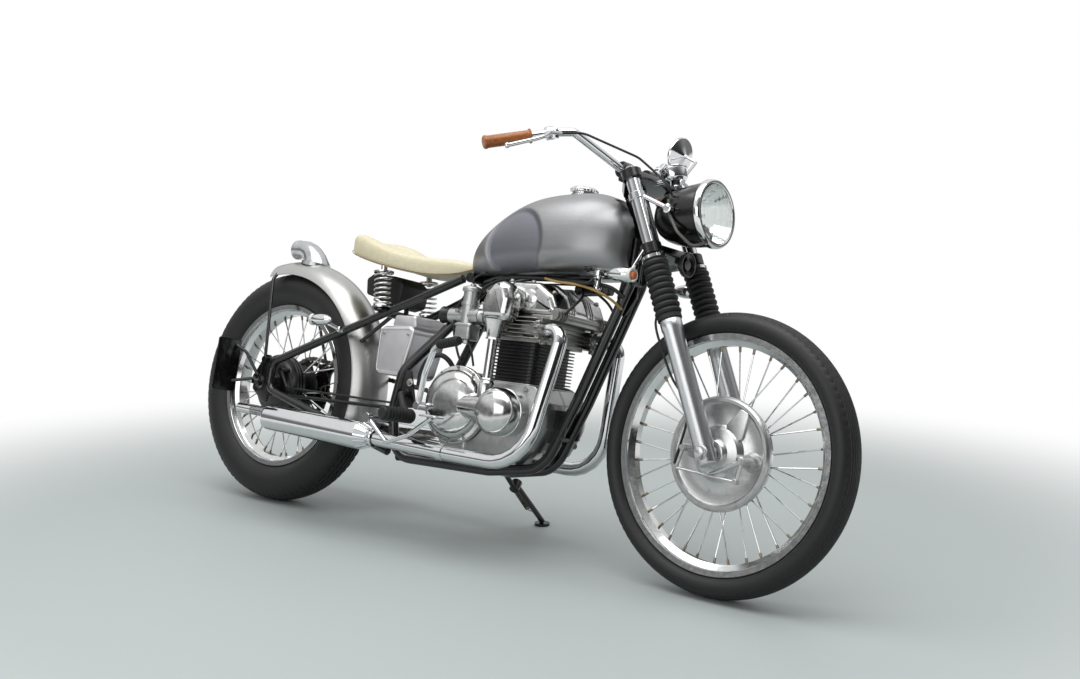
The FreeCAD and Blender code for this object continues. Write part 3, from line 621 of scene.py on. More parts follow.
sides = (1, -1)
rearTails = [Vector((231, 160 * side, 557)) for side in sides]
rearTips = [Vector((311, 160 * side, 560)) for side in sides]
frontTails = [fork(460, 148 * side, 22) for side in sides]
frontTips = [tail - ahead * 80 for tail in frontTails]
ownMaterials = {
    "rear_wheel": variantOf("polished_aluminium", "rim and black hub", colour="#cfd0d1", tint="#dadbdb",
                            roughness=(0.1, 0.18), regions=[
        dict(paintedBlack, tests=[("radial", rearAxle, sideways, None, 91.5, onChassis),
                                  ("along", rearAxle, sideways, None, 60, onChassis)]),
        {"colour": "#3d3a36", "metallic": 1.0, "roughness": 0.42,
         "tests": [("radial", rearAxle, sideways, None, 99, onChassis),
                   ("along", rearAxle, sideways, 60, None, onChassis)]}]),
    "headlamp_shell": variantOf("black_cylinder_paint", "black lamp bowl with plated rim",
                            roughness=(0.14, 0.24), regions=[
        dict(chromed, tests=[("along", lamp["centre"], lamp["axis"], -13, None, onFork)])]),
    "front_indicators": indicatorLook("front indicator shells", frontTails, frontTips, onFork),
    "rear_indicators": indicatorLook("rear indicator shells", rearTails, rearTips, onChassis),
    "carburettors": variantOf("cast_aluminium", "carburettor castings with black mouths", regions=[
        dict(paintedBlack, tests=[("along", at(-262, 0, 243), ahead, None, 0, onChassis)])]),
    "tail_lamp": variantOf("cast_aluminium", "satin lamp cowl", colour="#b9bcbd", tint="#c5c8c9",
                           roughness=(0.2, 0.3)),
    "front_brake_plate": variantOf("cast_aluminium", "satin brake plate", colour="#bfc0c0", tint="#cacbcb",
                            roughness=(0.26, 0.36)),
    "fork_sliders": variantOf("cast_aluminium", "silvered fork legs", colour="#c6c8ca", tint="#d0d2d3",
                            roughness=(0.26, 0.36),
                              stains=[stain(50, 0.55, 0.8, 0.25, "#a9aaab", 0.4)]),
    "front_wheel": variantOf("polished_aluminium", "rim, spokes and drum", colour="#cfd0d1", tint="#dadbdb",
                            roughness=(0.1, 0.18)),
    "mirror": variantOf("chromed_steel", "plated mirror", grainMm=40),
    "fork_yokes": variantOf("black_frame_paint", "black yokes and horn", regions=[
        dict(hornGrey, tests=[("radial", fork(496, 16, 66), ahead, None, 36, onFork),
                              ("along", fork(496, 16, 66), ahead, 0, 40, onFork)])]),
    "control_cables": variantOf("black_rubber", "cable sheath and braided loom", regions=[
        {"colour": "#6b6a66", "metallic": 0.4, "roughness": 0.45,
         "tests": [("along", fork(640, -84, 136), steerAxis, None, 0, onFork)]}]),
    "side_box": variantOf("silver_paint", "polished box sheet", colour="#cfcdd0", tint="#d6d4d6",
                          metallic=0.7, roughness=(0.3, 0.36),
                          grainMm=30, stretch=(1, 1, 1), reliefMm=0.01, bump=0.1),
    "foot_levers": variantOf("chromed_steel", "plated levers with a rubber kick pedal", regions=[
        {"colour": "#141415", "metallic": 0.0, "roughness": 0.6,
         "tests": [("radial", at(-175, -219, 152), Vector((79, -11, 15)), None, 15, onChassis),
                   ("along", at(-175, -219, 152), Vector((79, -11, 15)), -1, 90, onChassis)]}]),
    "cylinder_head": variantOf("cast_aluminium", "cast head", colour="#8f8f8c", tint="#a3a3a0"),
}

for name, piece in frame["nodes"].items():
    piece.data.materials.clear()
    piece.data.materials.append(ownMaterials.get(name, made.get(slotOf[name], made["chromed_steel"])))
print("materials on", len(frame["nodes"]), "nodes")


# Tyres: the solid's own outline with a moulded tread cut into it

tyres = {
    "front": {
        "node": "front_tyre", "body": "front_wheel_set", "centre": "frontAxle", "place": onFork,
        "radius": 340, "width": 85, "crown": 60, "bead": 276, "pitches": 100,
        "grooves": (0, 6.5, 13, 19.5, 25.5),
        "grooveHalf": 1.1, "zigzag": 0.5, "depth": 2.4},
    "rear": {
        "node": "rear_tyre", "body": "rear_wheel_set", "centre": "rearAxle", "place": onChassis,
        "radius": 353, "width": 120, "crown": 90, "bead": 239, "pitches": 90, "grooves": (0, 14, 28),
        "grooveHalf": 2.0, "zigzag": 2.2, "depth": 3.4},
}
tyreShape = {"beadShare": 0.62, "treadShare": 0.66, "flangeRise": 13, "wall": 7, "perPitch": 4}


def arcThrough(first, middle, last, count):
    # points on the circle through three (y, r) points, both ends included
    (ax, ay), (bx, by), (cx, cy) = first, middle, last
    d = 2 * (ax * (by - cy) + bx * (cy - ay) + cx * (ay - by))
    a, b, c = ax ** 2 + ay ** 2, bx ** 2 + by ** 2, cx ** 2 + cy ** 2
    ux = (a * (by - cy) + b * (cy - ay) + c * (ay - by)) / d
    uy = (a * (cx - bx) + b * (ax - cx) + c * (bx - ax)) / d
    radius = math.hypot(ax - ux, ay - uy)
    start = math.atan2(ay - uy, ax - ux)
    sweep = math.atan2(cy - uy, cx - ux) - start
    sweep = (sweep + math.pi) % (2 * math.pi) - math.pi
    return [(ux + radius * math.cos(start + sweep * k / (count - 1)),
             uy + radius * math.sin(start + sweep * k / (count - 1))) for k in range(count)]


def makeTyre(name, spec):
    beadHalf = spec["width"] / 2 * tyreShape["beadShare"]
    treadHalf = spec["width"] / 2 * tyreShape["treadShare"]
    crown = spec["radius"]
    ballRadius = spec["crown"]
    shoulder = crown - ballRadius + math.sqrt(ballRadius ** 2 - treadHalf ** 2)
    flange = spec["bead"] + tyreShape["flangeRise"]
    widest = (spec["bead"] + crown) / 2
    wall = arcThrough((beadHalf, flange), (spec["width"] / 2, widest), (treadHalf, shoulder), 12)
    edges = [groove + sign * spec["grooveHalf"] + nudge
             for groove in spec["grooves"] for sign in (-1, 1) for nudge in (-0.5, 0.5)]
    treadEdges = sorted({round(edge, 3) for edge in edges if edge > 0})
    treadRight = [y for y in treadEdges if y < treadHalf - 1]
    half = [(y, "tread") for y in treadRight] + [(treadHalf - 0.5, "shoulder"),
                            (treadHalf + 0.01, "shoulder")]
    samples = [(-y, kind) for y, kind in reversed(half)] + half
    bm = bmesh.new()
    centre = Vector(stance[spec["centre"]])
    count = spec["pitches"] * tyreShape["perPitch"]
    rings = []
    for index in range(count):
        phase = index % tyreShape["perPitch"]
        shift = spec["zigzag"] * (0, 1, 0, -1)[phase]
        outline = [(beadHalf, spec["bead"])] + wall[:-2]
        sipe = spec["depth"] * 0.8 if phase == 0 else 0
        outline.append((wall[-2][0] - sipe * 0.4, wall[-2][1] - sipe * 0.5))
        for y, kind in reversed(samples):
            inGroove = any(abs(abs(y) - groove) < spec["grooveHalf"] for groove in spec["grooves"])
            moved = y + (shift if kind == "tread" else 0)
            reach = crown - ballRadius + math.sqrt(max(ballRadius ** 2 - moved ** 2, 0))
            drop = spec["depth"] if inGroove else 0
            if kind == "shoulder":
                drop = sipe
            outline.append((moved, reach - drop))
        outline.append((-(wall[-2][0] - sipe * 0.4), wall[-2][1] - sipe * 0.5))
        outline += [(-y, r) for y, r in reversed(wall[:-2])] + [(-beadHalf, spec["bead"])]
        inner = tyreShape["wall"]
        outline += [(-beadHalf + inner, spec["bead"]), (-spec["width"] / 2 + inner, widest),
                    (0, crown - inner * 1.6), (spec["width"] / 2 - inner, widest),
                    (beadHalf - inner, spec["bead"])]
        angle = 2 * math.pi * index / count
        out = ahead * math.cos(angle) + upward * math.sin(angle)
        rings.append([bm.verts.new(centre + sideways * y + out * r) for y, r in outline])
    joinRings(bm, rings, True, False)
    makePiece(name, bm, spec["place"], spec["body"], made["tyre_rubber"], (spec["node"],),
              30)


for side, spec in tyres.items():
    makeTyre(side + "_tyre_tread", spec)
print("tyres done")


# Spoke nipples: brass, one at each spoke's end in the rim
brass = newMaterial("turned brass", {
    "colour": "#8f8675", "tint": "#7f7564", "metallic": 1.0, "roughness": (0.3, 0.45),
    "grainMm": 3, "reliefMm": 0.02})
spokes = {
    "front": {"centre": "frontAxle", "place": onFork, "body": "front_wheel_set", "rim": 259,
              "right": (127, -14), "left": (56, 35),
              "reachDeg": 7},
    "rear": {"centre": "rearAxle", "place": onChassis, "body": "rear_wheel_set", "rim": 222,
             "right": (86, -24), "left": (64, 46),
             "reachDeg": 10},
    "count": 36, "nippleLength": 15, "nippleRadius": 3.3,
}


def spokeEnds(spec, centre, index):
    around = 2 * math.pi * index / spokes["count"]
    hubRadius, hubY = spec["left"] if index % 2 else spec["right"]
    foot = around + (1 if (index // 2) % 2 else -1) * math.radians(spec["reachDeg"])
    rimEnd = centre + Vector((math.cos(around) * spec["rim"], 4.0 if index % 2 else -4.0,
                            math.sin(around) * spec["rim"]))
    hubEnd = centre + Vector((math.cos(foot) * hubRadius, hubY, math.sin(foot) * hubRadius))
    return rimEnd, hubEnd


def makeNipples(name, spec):
    bm = bmesh.new()
    centre = Vector(stance[spec["centre"]])
    for index in range(spokes["count"]):
        rimEnd, hubEnd = spokeEnds(spec, centre, index)
        way = (hubEnd - rimEnd).normalized()
        length, wide = spokes["nippleLength"], spokes["nippleRadius"]
        addLathe(bm, [(0, 0), (wide + 0.9, 0), (wide + 0.9, 2.5), (wide, 3.5), (wide, length - 2),
                      (wide * 0.8, length), (0, length)], rimEnd - way * 1.5, way, 8)
    makePiece(name, bm, spec["place"], spec["body"], brass)


for side in ("front", "rear"):
    makeNipples(side + "_spoke_nipples", spokes[side])
print("nipples done")


# Wheels: alloy rims on crossed spokes, a wide drum in front and a black drum and chain wheel behind
wheelLook = {"spokeRadius": 2.0, "frontDrum": 131, "rearDrum": 92, "chainLine": 84, "chainWheel": 89.5,
             "teeth": 38}


def addRim(bm, centre, bead, width):
    half = width / 2 * tyreShape["beadShare"]
    seat, flange, well = bead - 0.3, bead + 12, bead - 14
    inside, outside, wellHalf = half + 0.3, half + 3.8, half * 0.45
    right = [(seat, -inside), (flange - 1, -inside), (flange, -inside - 1), (flange, -outside + 1),
             (flange - 1, -outside), (seat - 2, -outside), (seat - 3.5, -outside + 2),
             (seat - 3.5, -wellHalf - 8), (well - 3.5, -wellHalf + 2)]
    left = [(radius, -y) for radius, y in reversed(right)]
    addRing(bm, right + left + [(seat, inside - 8), (well, wellHalf - 2), (well, -wellHalf + 2),
                            (seat, -inside + 8)], centre, sideways, 160)


def addSpokes(bm, spec):
    centre = Vector(stance[spec["centre"]])
    for index in range(spokes["count"]):
        rimEnd, hubEnd = spokeEnds(spec, centre, index)
        wire = wheelLook["spokeRadius"]
        addLathe(bm, [(0, 0), (wire, 0), (wire, (rimEnd - hubEnd).length)], hubEnd, rimEnd - hubEnd, 8)
        addLathe(bm, [(0, -3), (4, -3), (4, 1.5), (0, 2.5)], hubEnd, sideways * (1 if hubEnd.y > 0 else -1),
                 12)


def drawFrontWheel(bm):
    drum = wheelLook["frontDrum"]
    addRim(bm, frontAxle, 276, 85)
    addRing(bm, [(9.2, -24), (drum - 5, -24), (drum - 5, -20), (drum, -20), (drum, -8), (drum - 8, 2),
                 (62, 12), (44, 20), (44, 30), (60, 32), (60, 38), (44, 40), (36, 48), (9.2, 48)],
                 frontAxle, sideways, 96)
    addSpokes(bm, spokes["front"])


def drawRearWheel(bm):
    drum = wheelLook["rearDrum"]
    addRim(bm, rearAxle, 239, 120)
    addRing(bm, [(9.2, -45), (drum - 6, -45), (drum - 6, -40), (drum - 2, -40), (drum - 2, -34),
                 (drum - 6, -34), (drum - 6, -28), (drum - 2, -28), (drum - 2, -20), (62, -14), (48, 0),
                 (46, 30), (70, 42), (70, 50), (9.2, 50)], rearAxle, sideways, 96)
    addSpokes(bm, spokes["rear"])
    line = wheelLook["chainLine"]
    teeth, outer = wheelLook["teeth"], wheelLook["chainWheel"]
    rim = []
    for index in range(teeth * 4):
        around = math.pi * index / teeth / 2
        reach = outer - (0, 2, 4, 2)[index % 4]
        rim.append((math.cos(around) * reach, math.sin(around) * reach))
    addToothedRing(bm, rim, 74, rearAxle + sideways * (line - 3), 6)
    addRing(bm, [(9.2, 50), (42, 50), (42, line - 3), (50, line - 3), (50, line + 3), (38, line + 3),
                 (34, line + 8), (9.2, line + 8)], rearAxle, sideways, 64)
    for index in range(5):
        way = 2 * math.pi * (index + 0.5) / 5
        out, across = Vector((math.cos(way), math.sin(way))), Vector((-math.sin(way), math.cos(way)))
        arm = [out * 46 - across * 22, out * 78 - across * 16, out * 78 + across * 16,
               out * 46 + across * 22]
        addPlate(bm, sideOf(rearAxle), arm, line - 2.5, 5, 3)


def addToothedRing(bm, outline, inner, base, thickness):
    rows = []
    for y in (0, thickness):
        rows.append([bm.verts.new(base + Vector((u, y, v))) for u, v in outline])
        rows.append([bm.verts.new(base + Vector((u, y, v)) + (Vector((u, 0, v)).normalized() * inner
                                - Vector((u, 0, v)))) for u, v in outline])
    lowOut, lowIn, highOut, highIn = rows
    count = len(outline)
    for k in range(count):
        after = (k + 1) % count
        for first, second in ((lowOut, highOut), (highOut, highIn), (highIn, lowIn), (lowIn, lowOut)):
            bm.faces.new((first[k], first[after], second[after], second[k]))


# Saddle: a thin foam pad under cream hide, drawn over its pan and stitched along its lower edge
saddleStations = [  # x, half width, top at the rim, top at the middle, lower edge
    (258, 36, 808, 812, 790), (268, 70, 822, 822, 778), (288, 98, 830, 820, 768), (318, 116, 829, 808, 757),
    (356, 123, 820, 796, 748), (400, 120, 803, 787, 738), (440, 110, 790, 781, 731),
    (486, 92, 780, 777, 725), (540, 68, 774, 775, 720), (595, 50, 773, 777, 722), (645, 39, 772, 775, 728),
    (678, 29, 766, 768, 737),
    (692, 14, 758, 760, 746)]
saddleLook = {"levels": 2, "seamRise": 5, "seamRadius": 1.1}


def saddleRing(station):
    x, half, rim, middle, low = station
    right = [(0.0, middle), (0.35, middle + (rim - middle) * 0.3), (0.68, rim - 1), (0.9, rim - 5),
             (0.985, rim - 15), (1.0, low + (rim - low) * 0.45), (0.975, low + 3), (0.9, low),
             (0.45, low + 2), (0.0, low + 3)]
    left = [Vector((x, share * half, z)) for share, z in right[-2:0:-1]]
    return [Vector((x, -share * half, z)) for share, z in right] + left


def makeSaddle():
    bm = bmesh.new()
    rings = [[bm.verts.new(point) for point in saddleRing(station)] for station in saddleStations]
    joinRings(bm, rings, capped=False)
    for ring in (rings[0][::-1], rings[-1]):
        count = len(ring)
        middle = bm.verts.new(sum((vert.co for vert in ring), Vector()) / count)
        for step in range(count):
            bm.faces.new((ring[step], ring[(step + 1) % count], middle))
    bmesh.ops.recalc_face_normals(bm, faces=bm.faces)
    bm.transform(onChassis)
    rough = bpy.data.meshes.new("saddle_form")
    bm.to_mesh(rough)
    bm.free()
    source = bpy.data.objects.new("saddle_form", rough)
    bpy.context.scene.collection.objects.link(source)
    rounding = source.modifiers.new("rounding", "SUBSURF")
    rounding.levels = saddleLook["levels"]
    rounding.render_levels = saddleLook["levels"]
    mesh = bpy.data.meshes.new_from_object(source.evaluated_get(bpy.context.evaluated_depsgraph_get()))
    bpy.data.objects.remove(source)
    mesh.name = "saddle_pad"
    pad = finishPiece("saddle_pad", mesh, "chassis", made["cream_leather"],
                      ("saddle",), 180)
    edge = [Vector((x, -half * 0.985, low + saddleLook["seamRise"]))
            for x, half, rim, middle, low in saddleStations]
    line = smoothLine([Vector((256, 0, 797))] + edge + [Vector((694, 0, 750))], 8)
    loop = line + [Vector((p.x, -p.y, p.z)) for p in line[-2:0:-1]]
    bm = bmesh.new()
    addTube(bm, loop, saddleLook["seamRadius"], 6, True)
    makePiece("saddle_seam", bm, onChassis, "chassis", seamThread)


seamThread = newMaterial("brown seam welt", {
    "colour": "#7d5a3a", "tint": "#8d6946", "metallic": 0.0, "roughness": (0.5, 0.65),
    "grainMm": 2, "reliefMm": 0.1})
makeSaddle()
print("saddle done")


# Saddle springs: bright wire in their cups, as thick as the real ones
springs = {"foot": Vector((443, 97, 612)), "lean": -14, "rise": 108, "coil": 24, "wire": 2.7, "turns": 7,
           "cup": 29}


def makeSprings():
    bm = bmesh.new()
    for side in sides:
        foot = mirrored(springs["foot"], side)
        head = foot + Vector((springs["lean"], 0, springs["rise"]))
        way = (head - foot).normalized()
        line = helix(foot + way * 6, head - way * 5, springs["coil"], springs["turns"], 26)
        addTube(bm, line, springs["wire"], 10)
        cup = springs["cup"]
        for end, sign in ((foot, 1), (head, -1)):
            addLathe(bm, [(0, 0), (cup, 0), (cup, 5), (cup - 2, 5), (cup - 2, 2), (0, 2)],
                     end + way * sign, way * sign, 36)
        addRod(bm, head, head + way * 26, 9)
        addBolt(bm, head - way * 4, way * -1, 14, 9, False)
    makePiece("saddle_spring_coils", bm, onChassis, "chassis", made["spring_steel"],
              ("saddle_springs",))


makeSprings()
print("springs done")


# Frame: bent tubes, lugs and plates, with the coils under the backbone
frameLook = {"tube": 14, "backbone": 20, "stay": 12, "cradleHalf": 108, "plateHalf": 118}
backboneHead = fork(585, 0, 0)
seatNode = at(-240, 0, 356)
perchBar = Vector((447, 0, 601))
standPivot = Vector((845, 122, 174))  # where the stand's leg hangs


def drawFrame(bm):
    tube, half = frameLook["tube"], frameLook["cradleHalf"]
    addRing(bm, [(21, -3), (27, -3), (30, 0), (30, 12), (28, 14), (28, 154), (30, 156), (30, 168),
                 (27, 171), (21, 171)], fork(542, 0, 0), steerAxis, 48)
    addRod(bm, backboneHead, seatNode, frameLook["backbone"], 28)
    addBall(bm, seatNode, frameLook["backbone"])
    gusset = [fork(577, 0, -19), fork(459, 0, -73), fork(420, 0, -131), fork(484, 0, -127),
              fork(609, 0, -40)]
    addPlate(bm, onMidPlane, [(p.x, p.z) for p in gusset], -4, 8, 10, 1)
    for side in sides:
        path = [fork(600, 18, -21), fork(494, 26, -65), at(153, 26, 54), at(75, 26, -131),
                at(-85, 50, -158), at(-375, half, -161), at(-409, half, -36), at(-392, half, 78),
                at(-184, 12, 350)]
        addPipe(bm, toSide(path, side), tube, 40, 150, 90, 120, 60, 60, 70, segments=22)
        addPlate(bm, onCrank, [(-409, -30), (-331, -22), (-331, -4), (-361, 80), (-385, 80)],
                 104 if side > 0 else -112, 8, 6, 1)
        addRod(bm, at(-362, 96 * side, 12), at(-362, 121 * side, 12), 15, 28)
        addPlate(bm, onCrank, [(80, -66), (133, -46), (143, 26), (85, 26)], 30 if side > 0 else -36,
                 6, 6, 1)
        addRod(bm, at(-60, 47 * side, -158), at(-60, 47 * side, -120), 12)
        addRod(bm, at(101, 14 * side, 346), at(185, 14 * side, 352), 13, 28)
        addRod(bm, at(96, 14 * side, 345.6), at(104, 14 * side, 346.2), 14.2, 28)
    addPlate(bm, onCrank, [(135, 338), (149, 338), (149, 438), (135, 438)], -2, 4)
    addRod(bm, seatNode - sideways * 62, seatNode + sideways * 62, tube, 24)
    addRod(bm, at(-365, -half, -161), at(-365, half, -161), 11)
    for tie in (fork(494, 0, -65), at(111, 0, -46)):
        addRod(bm, tie - sideways * 26, tie + sideways * 26, 9)
    axis = Vector((-0.25, 0.66, 0.75)).normalized()
    addRod(bm, standPivot - axis * 20, standPivot - axis * 9.3, 14, 28)
    addRod(bm, Vector((845, 64, 204)), standPivot - axis * 15, 7)
    addRod(bm, standPivot - axis * 14, standPivot + axis * 12, 5)


def drawHardtail(bm):
    half, stay = frameLook["plateHalf"], frameLook["stay"]
    plate = [(-30, -23), (-30, 25), (6, 85), (24, 85), (46, 69), (46, -29), (38, -59), (22, -59)]
    for side in sides:
        path = [at(-258, 66, 350), rear(38, 115, 65), rear(38, 116, -18),
                at(-405, frameLook["cradleHalf"], -151)]
        addPipe(bm, toSide(path, side), stay, 34, 34, segments=20)
        addPlate(bm, sideOf(rearAxle), plate, (half if side > 0 else -half) - 4, 8, 6, 1)
        addBolt(bm, rear(0, 122 * side, 0), sideways * side, 26, 14)
        cup = mirrored(springs["foot"], side)
        addLathe(bm, [(0, 0), (20, 0), (25, 4), (25, 9), (0, 9)], cup - upward * 9, upward, 32)
        addRod(bm, Vector((perchBar.x, 50 * side, perchBar.z)), rear(330, 50 * side, 158), 6)
    addRod(bm, perchBar - sideways * 85, perchBar + sideways * 85, 11)
    addRod(bm, rearAxle - sideways * 138, rearAxle + sideways * 138, 9)
    addScrewThread(bm, rearAxle - sideways * 150, rearAxle - sideways * 136, 8)
    addScrewThread(bm, rearAxle + sideways * 136, rearAxle + sideways * 150, 8)


def addScrewThread(bm, start, end, radius, pitch=1.5):
    length = (end - start).length
    outline = [(0, 0), (radius - 1, 0)]
    for turn in range(int(length / pitch)):
        outline += [(radius - 0.8, turn * pitch + 0.4), (radius, turn * pitch + 1.1)]
    addLathe(bm, outline + [(radius - 1, length), (0, length)], start, end - start, 20)


# Bodywork: tray, box, mudguard, its hoop and plate, and the lamps behind
fenderLook = {"radius": 391, "half": 72, "section": 78, "sheet": 2.5, "startDeg": -22, "spanDeg": 127,
              "steps": 60, "bead": 3.2}


def drawTray(bm):
    outline = [(325, 700), (332, 655), (372, 646), (430, 622), (468, 634), (474, 690), (440, 712),
               (350, 716)]
    addPlate(bm, onMidPlane, outline, -58, 114, 10, 3)
    addRod(bm, perchBar, perchBar + upward * 60, 7)


def drawSideBox(bm):
    addPlate(bm, onMidPlane, [(455, 562), (457, 426), (560, 424), (592, 571)], -105, 143, 22, 8, 5)
    addPlate(bm, onMidPlane, [(492, 560), (500, 598), (578, 600), (590, 564)], -98, 128, 10, 7)
    addRod(bm, Vector((461, -20, 550)), perchBar - sideways * 20, 7)
    seam = [Vector((463, -106, 553)), Vector((465, -106, 436)), Vector((553, -106, 434)),
            Vector((581, -106, 561))]
    addTube(bm, bentLine(seam + seam[:1], [8]), 1.2, 6)


def drawFender(bm):
    # a rolled sheet with a wired edge on both sides
    look = fenderLook
    middle = look["radius"] - look["section"]
    edge = math.asin(look["half"] / look["section"])
    rows = []
    for step in range(look["steps"] + 1):
        around = math.radians(look["startDeg"] + look["spanDeg"] * step / look["steps"])
        out = ahead * math.cos(around) + upward * math.sin(around)
        row = []
        for radius, sign in ((look["section"], 1), (look["section"] - look["sheet"], -1)):
            for k in range(25):
                a = (-edge + 2 * edge * k / 24) * sign
                row.append(bm.verts.new(rearAxle + out * (middle + radius * math.cos(a))
                                        + sideways * (radius * math.sin(a))))
        rows.append(row)
    joinRings(bm, rows)
    for side in sides:
        reach = middle + (look["section"] - 1) * math.cos(edge)
        line = []
        for step in range(look["steps"] + 1):
            around = math.radians(look["startDeg"] + look["spanDeg"] * step / look["steps"])
            line.append(rearAxle + (ahead * math.cos(around) + upward * math.sin(around)) * reach
                        + sideways * (71 * side))
        addTube(bm, line, look["bead"] * 0.6, 8)


def drawStays(bm):
    half = [rear(14, 128, 76), rear(-58, 84, 322), rear(-70, 48, 358), rear(-66, 0, 384)]
    addPipe(bm, toSide(half, -1) + toSide(half[:-1], 1)[::-1], 5, 16, 16, 30, 16, 16, segments=12)
    for side in sides:
        addRod(bm, rear(14, 122 * side, 70), rear(14, 133 * side, 70), 10)
    addPlate(bm, lambda u, v, w: rear(w, u, v), [(-238, -41), (-152, -41), (-152, 119), (-238, 119)], -79,
             4, 6, 0.8)
    addRod(bm, rear(-76, -168, -8), rear(-14, -127, 10), 5)
    addPipe(bm, [rear(-76, -170, 102), rear(-50, -150, 84), rear(-12, -127, 22)], 5, 14)
    addRod(bm, rear(-14, -122, 14), rear(-14, -131, 14), 12)


def addLoft(bm, stations, segments=36):
    # round sections: (centre, axis, radius)
    rows = []
    for centre, axis, radius in stations:
        first = sideways
        second = axis.normalized().cross(first)
        rows.append([bm.verts.new(centre + first * (radius * math.cos(2 * math.pi * k / segments))
                                + second * (radius * math.sin(2 * math.pi * k / segments)))
                                for k in range(segments)])
    joinRings(bm, rows)


def drawTailLamp(bm):
    profile = [(38, 378, 41, 0.05, 1), (36, 388, 40, -0.1, 1), (24, 406, 34, -0.45, 0.9),
               (10, 418, 31.5, -0.7, 0.7), (0, 424, 30, -0.85, 0.5), (-16, 428.5, 29.5, -0.97, 0.2),
               (-30, 430, 29, -1, 0), (-46, 430, 28.5, -1, 0), (-50, 430, 30.5, -1, 0),
               (-60, 429, 30.5, -1, 0), (-61, 429, 27, -1, 0), (-57, 429, 26, -1, 0)]
    addLoft(bm, [(rear(x, 0, z), Vector((nx, 0, nz)), radius) for x, z, radius, nx, nz in profile])
    addLoft(bm, [(rear(32, 0, 380), Vector((0.09, 0, 1)), 46), (rear(32.4, 0, 391), Vector((0.09, 0, 1)),
                            45), (rear(32.6, 0, 393), Vector((0.09, 0, 1)), 42)])


def addBullet(bm, tail, tip, radius):
    # a small lamp: a rimmed lens at its tail and a pointed shell
    length = (tip - tail).length
    outline = [(0, 1.5), (radius - 5, 1), (radius - 3, 0), (radius - 1, 0), (radius, 1), (radius, 7),
               (radius - 1.5, 9), (radius - 1.5, 11), (radius, 13), (radius, length * 0.5)]
    for share, wide in ((0.58, 0.97), (0.66, 0.91), (0.75, 0.82), (0.83, 0.68), (0.9, 0.51), (0.95, 0.35),
                        (0.985, 0.16), (1, 0)):
        outline.append((radius * wide, length * share))
    addLathe(bm, outline, tail, tip - tail, 40)


def drawRearIndicators(bm):
    for side in sides:
        addBullet(bm, Vector((231, 160 * side, 557)), Vector((311, 160 * side, 560)), 17)
        addRod(bm, Vector((276, 158 * side, 556)), Vector((304, 104 * side, 535)), 6)
        addLathe(bm, [(0, -6), (9, -6), (10, -4), (10, 4), (9, 6), (0, 6)],
                 Vector((299, 113 * side, 538.5)), Vector((28, -54 * side, -21)), 6)


# Engine: a finned upright twin, with polished covers and its cam drive on the right
engineLook = {"barrelFins": 12, "headFins": 6, "cover": 105, "bevel": 62, "headerRadius": 19,
              "mufflerRadius": 38, "flutes": 12, "pegRibs": 9, "finEdge": 0.7}


def drawCrankcase(bm):
    main = [(-143, -114), (-123, -126), (13, -126), (65, -90), (97, -26), (99, 39), (69, 79), (-143, 79)]
    gearbox = [(-263, -46), (-223, -110), (-135, -122), (-135, 96), (-201, 96), (-261, 44)]
    addPlate(bm, onCrank, main, -100, 200, 14, 4)
    addPlate(bm, onCrank, gearbox, -104, 174, 14, 6)
    addBlock(bm, at(-107, -96, 72), at(53, 96, 82), 20, 2)
    addPlate(bm, onCrank, main, -3, 6, 14)  # the joint between the two case halves
    addLathe(bm, [(0, 0), (33, 0), (33, 3), (31, 5), (31, 22), (27, 30), (12, 34), (0, 34)], at(37, 0, -96),
             ahead, 40)
    for x in (-119, -60):
        addBolt(bm, at(x, -52, -122), upward * -1, 16, 12)
    for side in sides:
        for x, z in ((84, 8), (74, -62), (40, 66)):
            addBolt(bm, at(x, 100 * side, z), sideways * side, 11, 7)
    addRod(bm, at(-230, 0, -36), at(-230, 96, -36), 11)
    addRod(bm, at(-230, 81, -36), at(-230, 87, -36), 40, 40)


def drawBlock(bm):
    addBlock(bm, at(-93, -80, 82), at(38, 80, 190), 18)
    pitch = 106 / engineLook["barrelFins"]
    for index in range(engineLook["barrelFins"]):
        height = 84 + index * pitch
        addBlock(bm, at(-109, -94, height), at(52, 94, height + 2.6), 26, engineLook["finEdge"])
    for x in (-84, 28):
        for y in (-72, 72):
            addRod(bm, at(x, y, 80), at(x, y, 198), 6)


def addPortCollar(bm, side):
    centre = at(75, 117 * side, 222)
    ring = []
    for index in range(56):
        around = 2 * math.pi * index / 56
        reach = 36 if (index // 2) % 2 else 29.5
        ring.append((math.cos(around) * reach, math.sin(around) * reach))
    addPlate(bm, lambda u, v, w: centre + Vector((w, u, v)), ring, 0, 14, 0, 1)
    addRod(bm, at(20, 100 * side, 224), centre + ahead * 16, 25, 36)


def drawHead(bm):
    addBlock(bm, at(-93, -100, 190), at(65, 100, 262), 16, 2)
    for index in range(engineLook["headFins"]):
        height = 198 + index * 10.5
        addBlock(bm, at(-97, -130, height), at(75, 130, height + 2.8), 24, engineLook["finEdge"])
    for side in sides:
        addPortCollar(bm, side)
        addRod(bm, at(113, 76 * side, 266), at(113, 122 * side, 266), 13, 28)
        for rib in range(4):
            addRod(bm, at(113, (82 + 9 * rib) * side, 266), at(113, (86 + 9 * rib) * side, 266), 17, 28)
    addRod(bm, at(113, -80, 266), at(113, 80, 266), 7)
    addBlock(bm, at(35, -124, 250), at(115, 124, 262), 12, 2)


